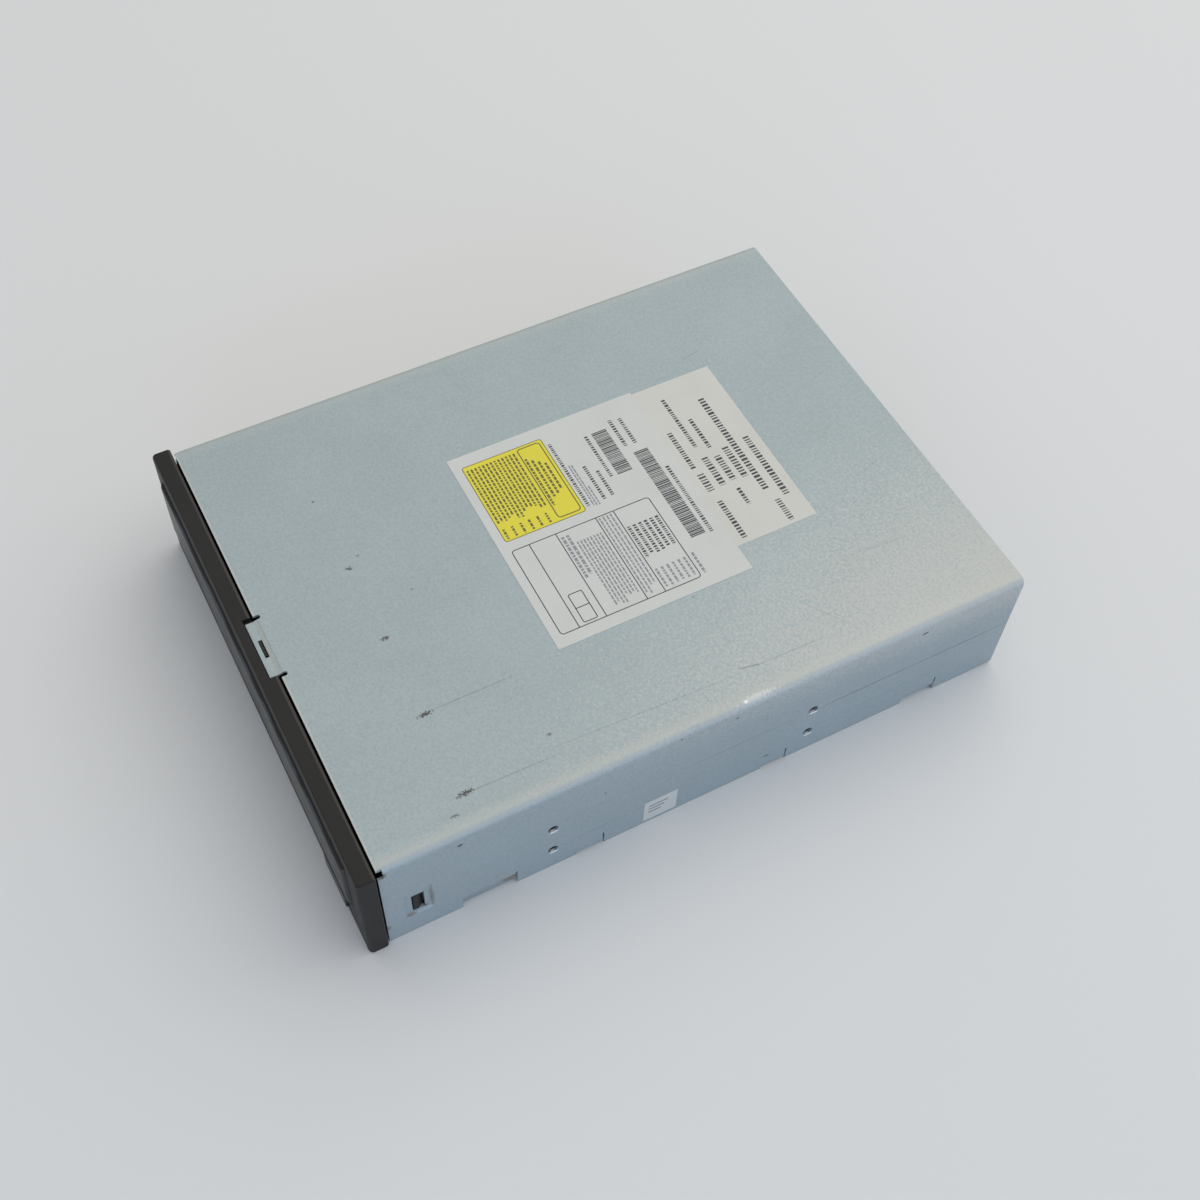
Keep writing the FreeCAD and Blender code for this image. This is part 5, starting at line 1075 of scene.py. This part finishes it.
@dataclass
class LeadScrew:
    """Threaded shaft of the sled motor."""

    x: float = 29.4
    z: float = 15.2
    y: tuple[float, float] = (82.5, 139.0)
    tip: float = 0.8
    radius: float = 1.5
    lead: float = 3.0
    depth: float = 0.35
    thread: tuple[float, float, float] = (0.9, 1.25, 2.65)

    def build(self, builder: Builder) -> None:
        """Builds the shaft with its thread, in place of the plain one.

        Args:
            builder: Maker of pieces.
        """
        mesh = bmesh.new()
        steps = 20
        root = self.radius - self.depth
        rise, land, fall = self.thread
        outline = [(root, 0.0), (root, rise), (self.radius, land), (self.radius, fall), (root, self.lead)]
        start = [mesh.verts.new((radius, 0.0, z)) for radius, z in outline]
        edges = [mesh.edges.new(pair) for pair in zip(start, start[1:])]
        length = self.y[1] - self.y[0]
        turns = int(length / self.lead) - 1
        bmesh.ops.spin(mesh, geom=start + edges, cent=(0, 0, 0), axis=(0, 0, 1),
                       dvec=(0, 0, self.lead / steps), angle=2 * math.pi * turns, steps=steps * turns,
                       use_merge=False)
        bmesh.ops.remove_doubles(mesh, verts=mesh.verts, dist=1e-4)
        for radius, low, high in ((root - 0.02, 0.0, length), (self.tip, -2.4, 0.4)):
            core = bmesh.ops.create_cone(mesh, cap_ends=True, segments=steps, radius1=radius,
                                         radius2=radius, depth=high - low)["verts"]
            bmesh.ops.translate(mesh, verts=core, vec=(0, 0, (low + high) / 2))
        bmesh.ops.recalc_face_normals(mesh, faces=mesh.faces)
        lie = Matrix.Rotation(-math.pi / 2, 4, "X") @ Matrix.Scale(MM, 4)
        bmesh.ops.transform(mesh, verts=mesh.verts,
                            matrix=swing() @ Matrix.Translation(place(self.x, self.y[0], self.z)) @ lie)
        item = builder.piece("lead_screw_cut", mesh, "lead_screw", "rail_steel", smooth=30.0)
        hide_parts("lead_screw")


@dataclass
class Assembly:
    """Sub-assembly whose nodes wear their finishes."""

    nodes: tuple[str, ...] = ()

    def build(self, builder: Builder) -> None:
        """Dresses the nodes."""
        builder.dress(*self.nodes)


@dataclass
class Casing(Assembly):
    """Folded cover and bottom plate."""

    nodes: tuple[str, ...] = ("top_cover", "bottom_plate")


@dataclass
class FrontPanel(Assembly):
    """Bezel, tray door, button and light."""

    nodes: tuple[str, ...] = (
        "front_bezel", "tray_front", "eject_button", "light_pipe", "status_led", "front_board",
        "eject_switch")


@dataclass
class Loader(Assembly):
    """Loader chassis, tray, its gear train and the clamp."""

    nodes: tuple[str, ...] = (
        "main_frame", "tray", "loading_motor", "loading_belt", "motor_pulley", "pulley_gear",
        "drive_gear", "cam_slider", "clamp_bridge", "clamper", "clamp_magnet", "clamper_cap",
        "hinge_bushes")


@dataclass
class SwingingChassis(Assembly):
    """Swinging chassis with its spindle, pickup, rails and lead screw."""

    nodes: tuple[str, ...] = (
        "traverse_frame", "spindle_motor", "rotor_can", "turntable", "turntable_ring",
        "guide_rail_left", "guide_rail_right", "sled_motor", "lead_nut", "pickup_body", "lens_cover",
        "lens_holder", "objective_lens", "lead_screw")

    def build(self, builder: Builder) -> None:
        """Dresses the chassis and cuts the lead screw's thread."""
        super().build(builder)
        LeadScrew().build(builder)


@dataclass
class Electronics(Assembly):
    """Boards, chips, sockets and rear connectors."""

    nodes: tuple[str, ...] = (
        "main_board", "controller_chip", "driver_chip", "memory_chips", "capacitors", "ide_connector",
        "ide_pins", "power_connector", "power_pins", "audio_connector", "audio_pins", "jumper_block",
        "jumper_pins", "jumper_cap", "cable_sockets", "ribbon_cable")


@dataclass
class Fasteners:
    """All screws, grouped by what they hold."""

    def build(self, builder: Builder) -> None:
        """Builds every group of screws.

        Args:
            builder: Maker of pieces.
        """
        sides = (-1, 1)
        feet = [(side * 66.6, y, 2.0) for side in sides for y in (9.0, 152.0)]
        board = [(side * 54.0, y, 5.0) for side in sides for y in (102.0, 172.6)]
        bridge = [(side * 66.7, 66.0 + way * 11.0, 32.0) for side in sides for way in sides]
        motor = [(-2.0 + side * 6.0, 13.2, 13.8) for side in sides]
        ring = [math.radians(turn) for turn in (150, 30, 270)]
        spindle = [(16.2 * math.cos(turn), 66.0 + 16.2 * 0.93 * math.sin(turn), 13.3) for turn in ring]
        groups = (Screws("bottom_screws", feet, 1, 1.2, 2.5, 6.0),
                  Screws("board_screws", board, -1, 1.0, 1.9, 3.4, pitch=0.5),
                  Screws("bridge_screws", bridge, -1, 0.95, 2.0, 4.5, pitch=0.5),
                  Screws("motor_screws", motor, -1, 0.8, 1.6, 3.2, pitch=0.4),
                  Screws("spindle_screws", spindle, 1, 0.9, 1.5, 3.4, pitch=0.45, tilt=True))
        for group in groups:
            group.build(builder)


@dataclass
class Studio:
    """Floor, lamps, world and the camera of the photograph."""

    focal_px: float = 1572.921
    frame_px: float = 1200.0
    azimuth: float = math.radians(59.54)
    elevation: float = math.radians(55.71)
    roll: float = math.radians(3.27)
    eye: Point = (231.7, -35.9, 390.3)
    floor_half: float = 2000.0

    def build(self) -> None:
        """Sets the stage, the light and the camera."""
        self.lay_floor()
        self.light()
        self.aim()
        bpy.context.scene.view_settings.view_transform = "Standard"

    def lay_floor(self) -> None:
        """Lays a plain pale floor under the drive."""
        mesh = bmesh.new()
        bmesh.ops.create_grid(mesh, x_segments=2, y_segments=2, size=self.floor_half * MM)
        bmesh.ops.translate(mesh, verts=mesh.verts, vec=(0, 0, cad_box[0][2] - FLOOR_GAP * MM))
        data = bpy.data.meshes.new("floor")
        mesh.to_mesh(data)
        mesh.free()
        data.materials.append(Finish("pale_floor", "D6D6D4", 0.8).material())
        put("floor", data)

    def light(self) -> None:
        """Sets a pale world, a large soft key and a cool fill from the right."""
        world = bpy.data.worlds.new("studio")
        bpy.context.scene.world = world
        world.use_nodes = True
        background = world.node_tree.nodes["Background"]
        background.inputs[0].default_value = linear("E8ECF0")
        background.inputs[1].default_value = 0.66
        lamps = (("key", (-0.25, 0.75, 1.4), (2.6, 2.6), 21.0, "FFFAF4"),
                 ("fill", (1.7, 0.0, 0.5), (3.2, 1.0), 12.5, "8CBEFF"))
        for name, spot, size, power, tint in lamps:
            lamp = bpy.data.lights.new(name, "AREA")
            lamp.shape = "RECTANGLE"
            lamp.size, lamp.size_y = size
            lamp.energy = power
            lamp.color = linear(tint)[:3]
            item = put(name, lamp)
            item.location = spot
            item.rotation_euler = (-Vector(spot)).to_track_quat("-Z", "Y").to_euler()

    def aim(self) -> None:
        """Puts the camera where the photograph was taken from."""
        back = Vector((math.sin(self.azimuth) * math.cos(self.elevation),
                       -math.cos(self.azimuth) * math.cos(self.elevation), math.sin(self.elevation)))
        right = Vector((0, 0, 1)).cross(back).normalized()
        up = back.cross(right)
        turned = Matrix((right, up, back)).transposed() @ Matrix.Rotation(self.roll, 3, "Z")
        lens = bpy.data.cameras.new("camera")
        lens.sensor_width = 36.0
        lens.lens = self.focal_px / self.frame_px * lens.sensor_width
        camera = put("camera", lens)
        camera.matrix_world = Matrix.Translation(place(*self.eye)) @ turned.to_4x4()
        bpy.context.scene.camera = camera


def main() -> None:
    """Dresses the drive, sub-assembly by sub-assembly, and sets the studio."""
    builder = Builder(Palette())
    for assembly in (Casing(), FrontPanel(), Loader(), SwingingChassis(), Electronics(), Fasteners(),
                     PaperLabels()):
        assembly.build(builder)
        log.info("%s done", type(assembly).__name__)
    Studio().build()


if __name__ == "__main__":
    main()
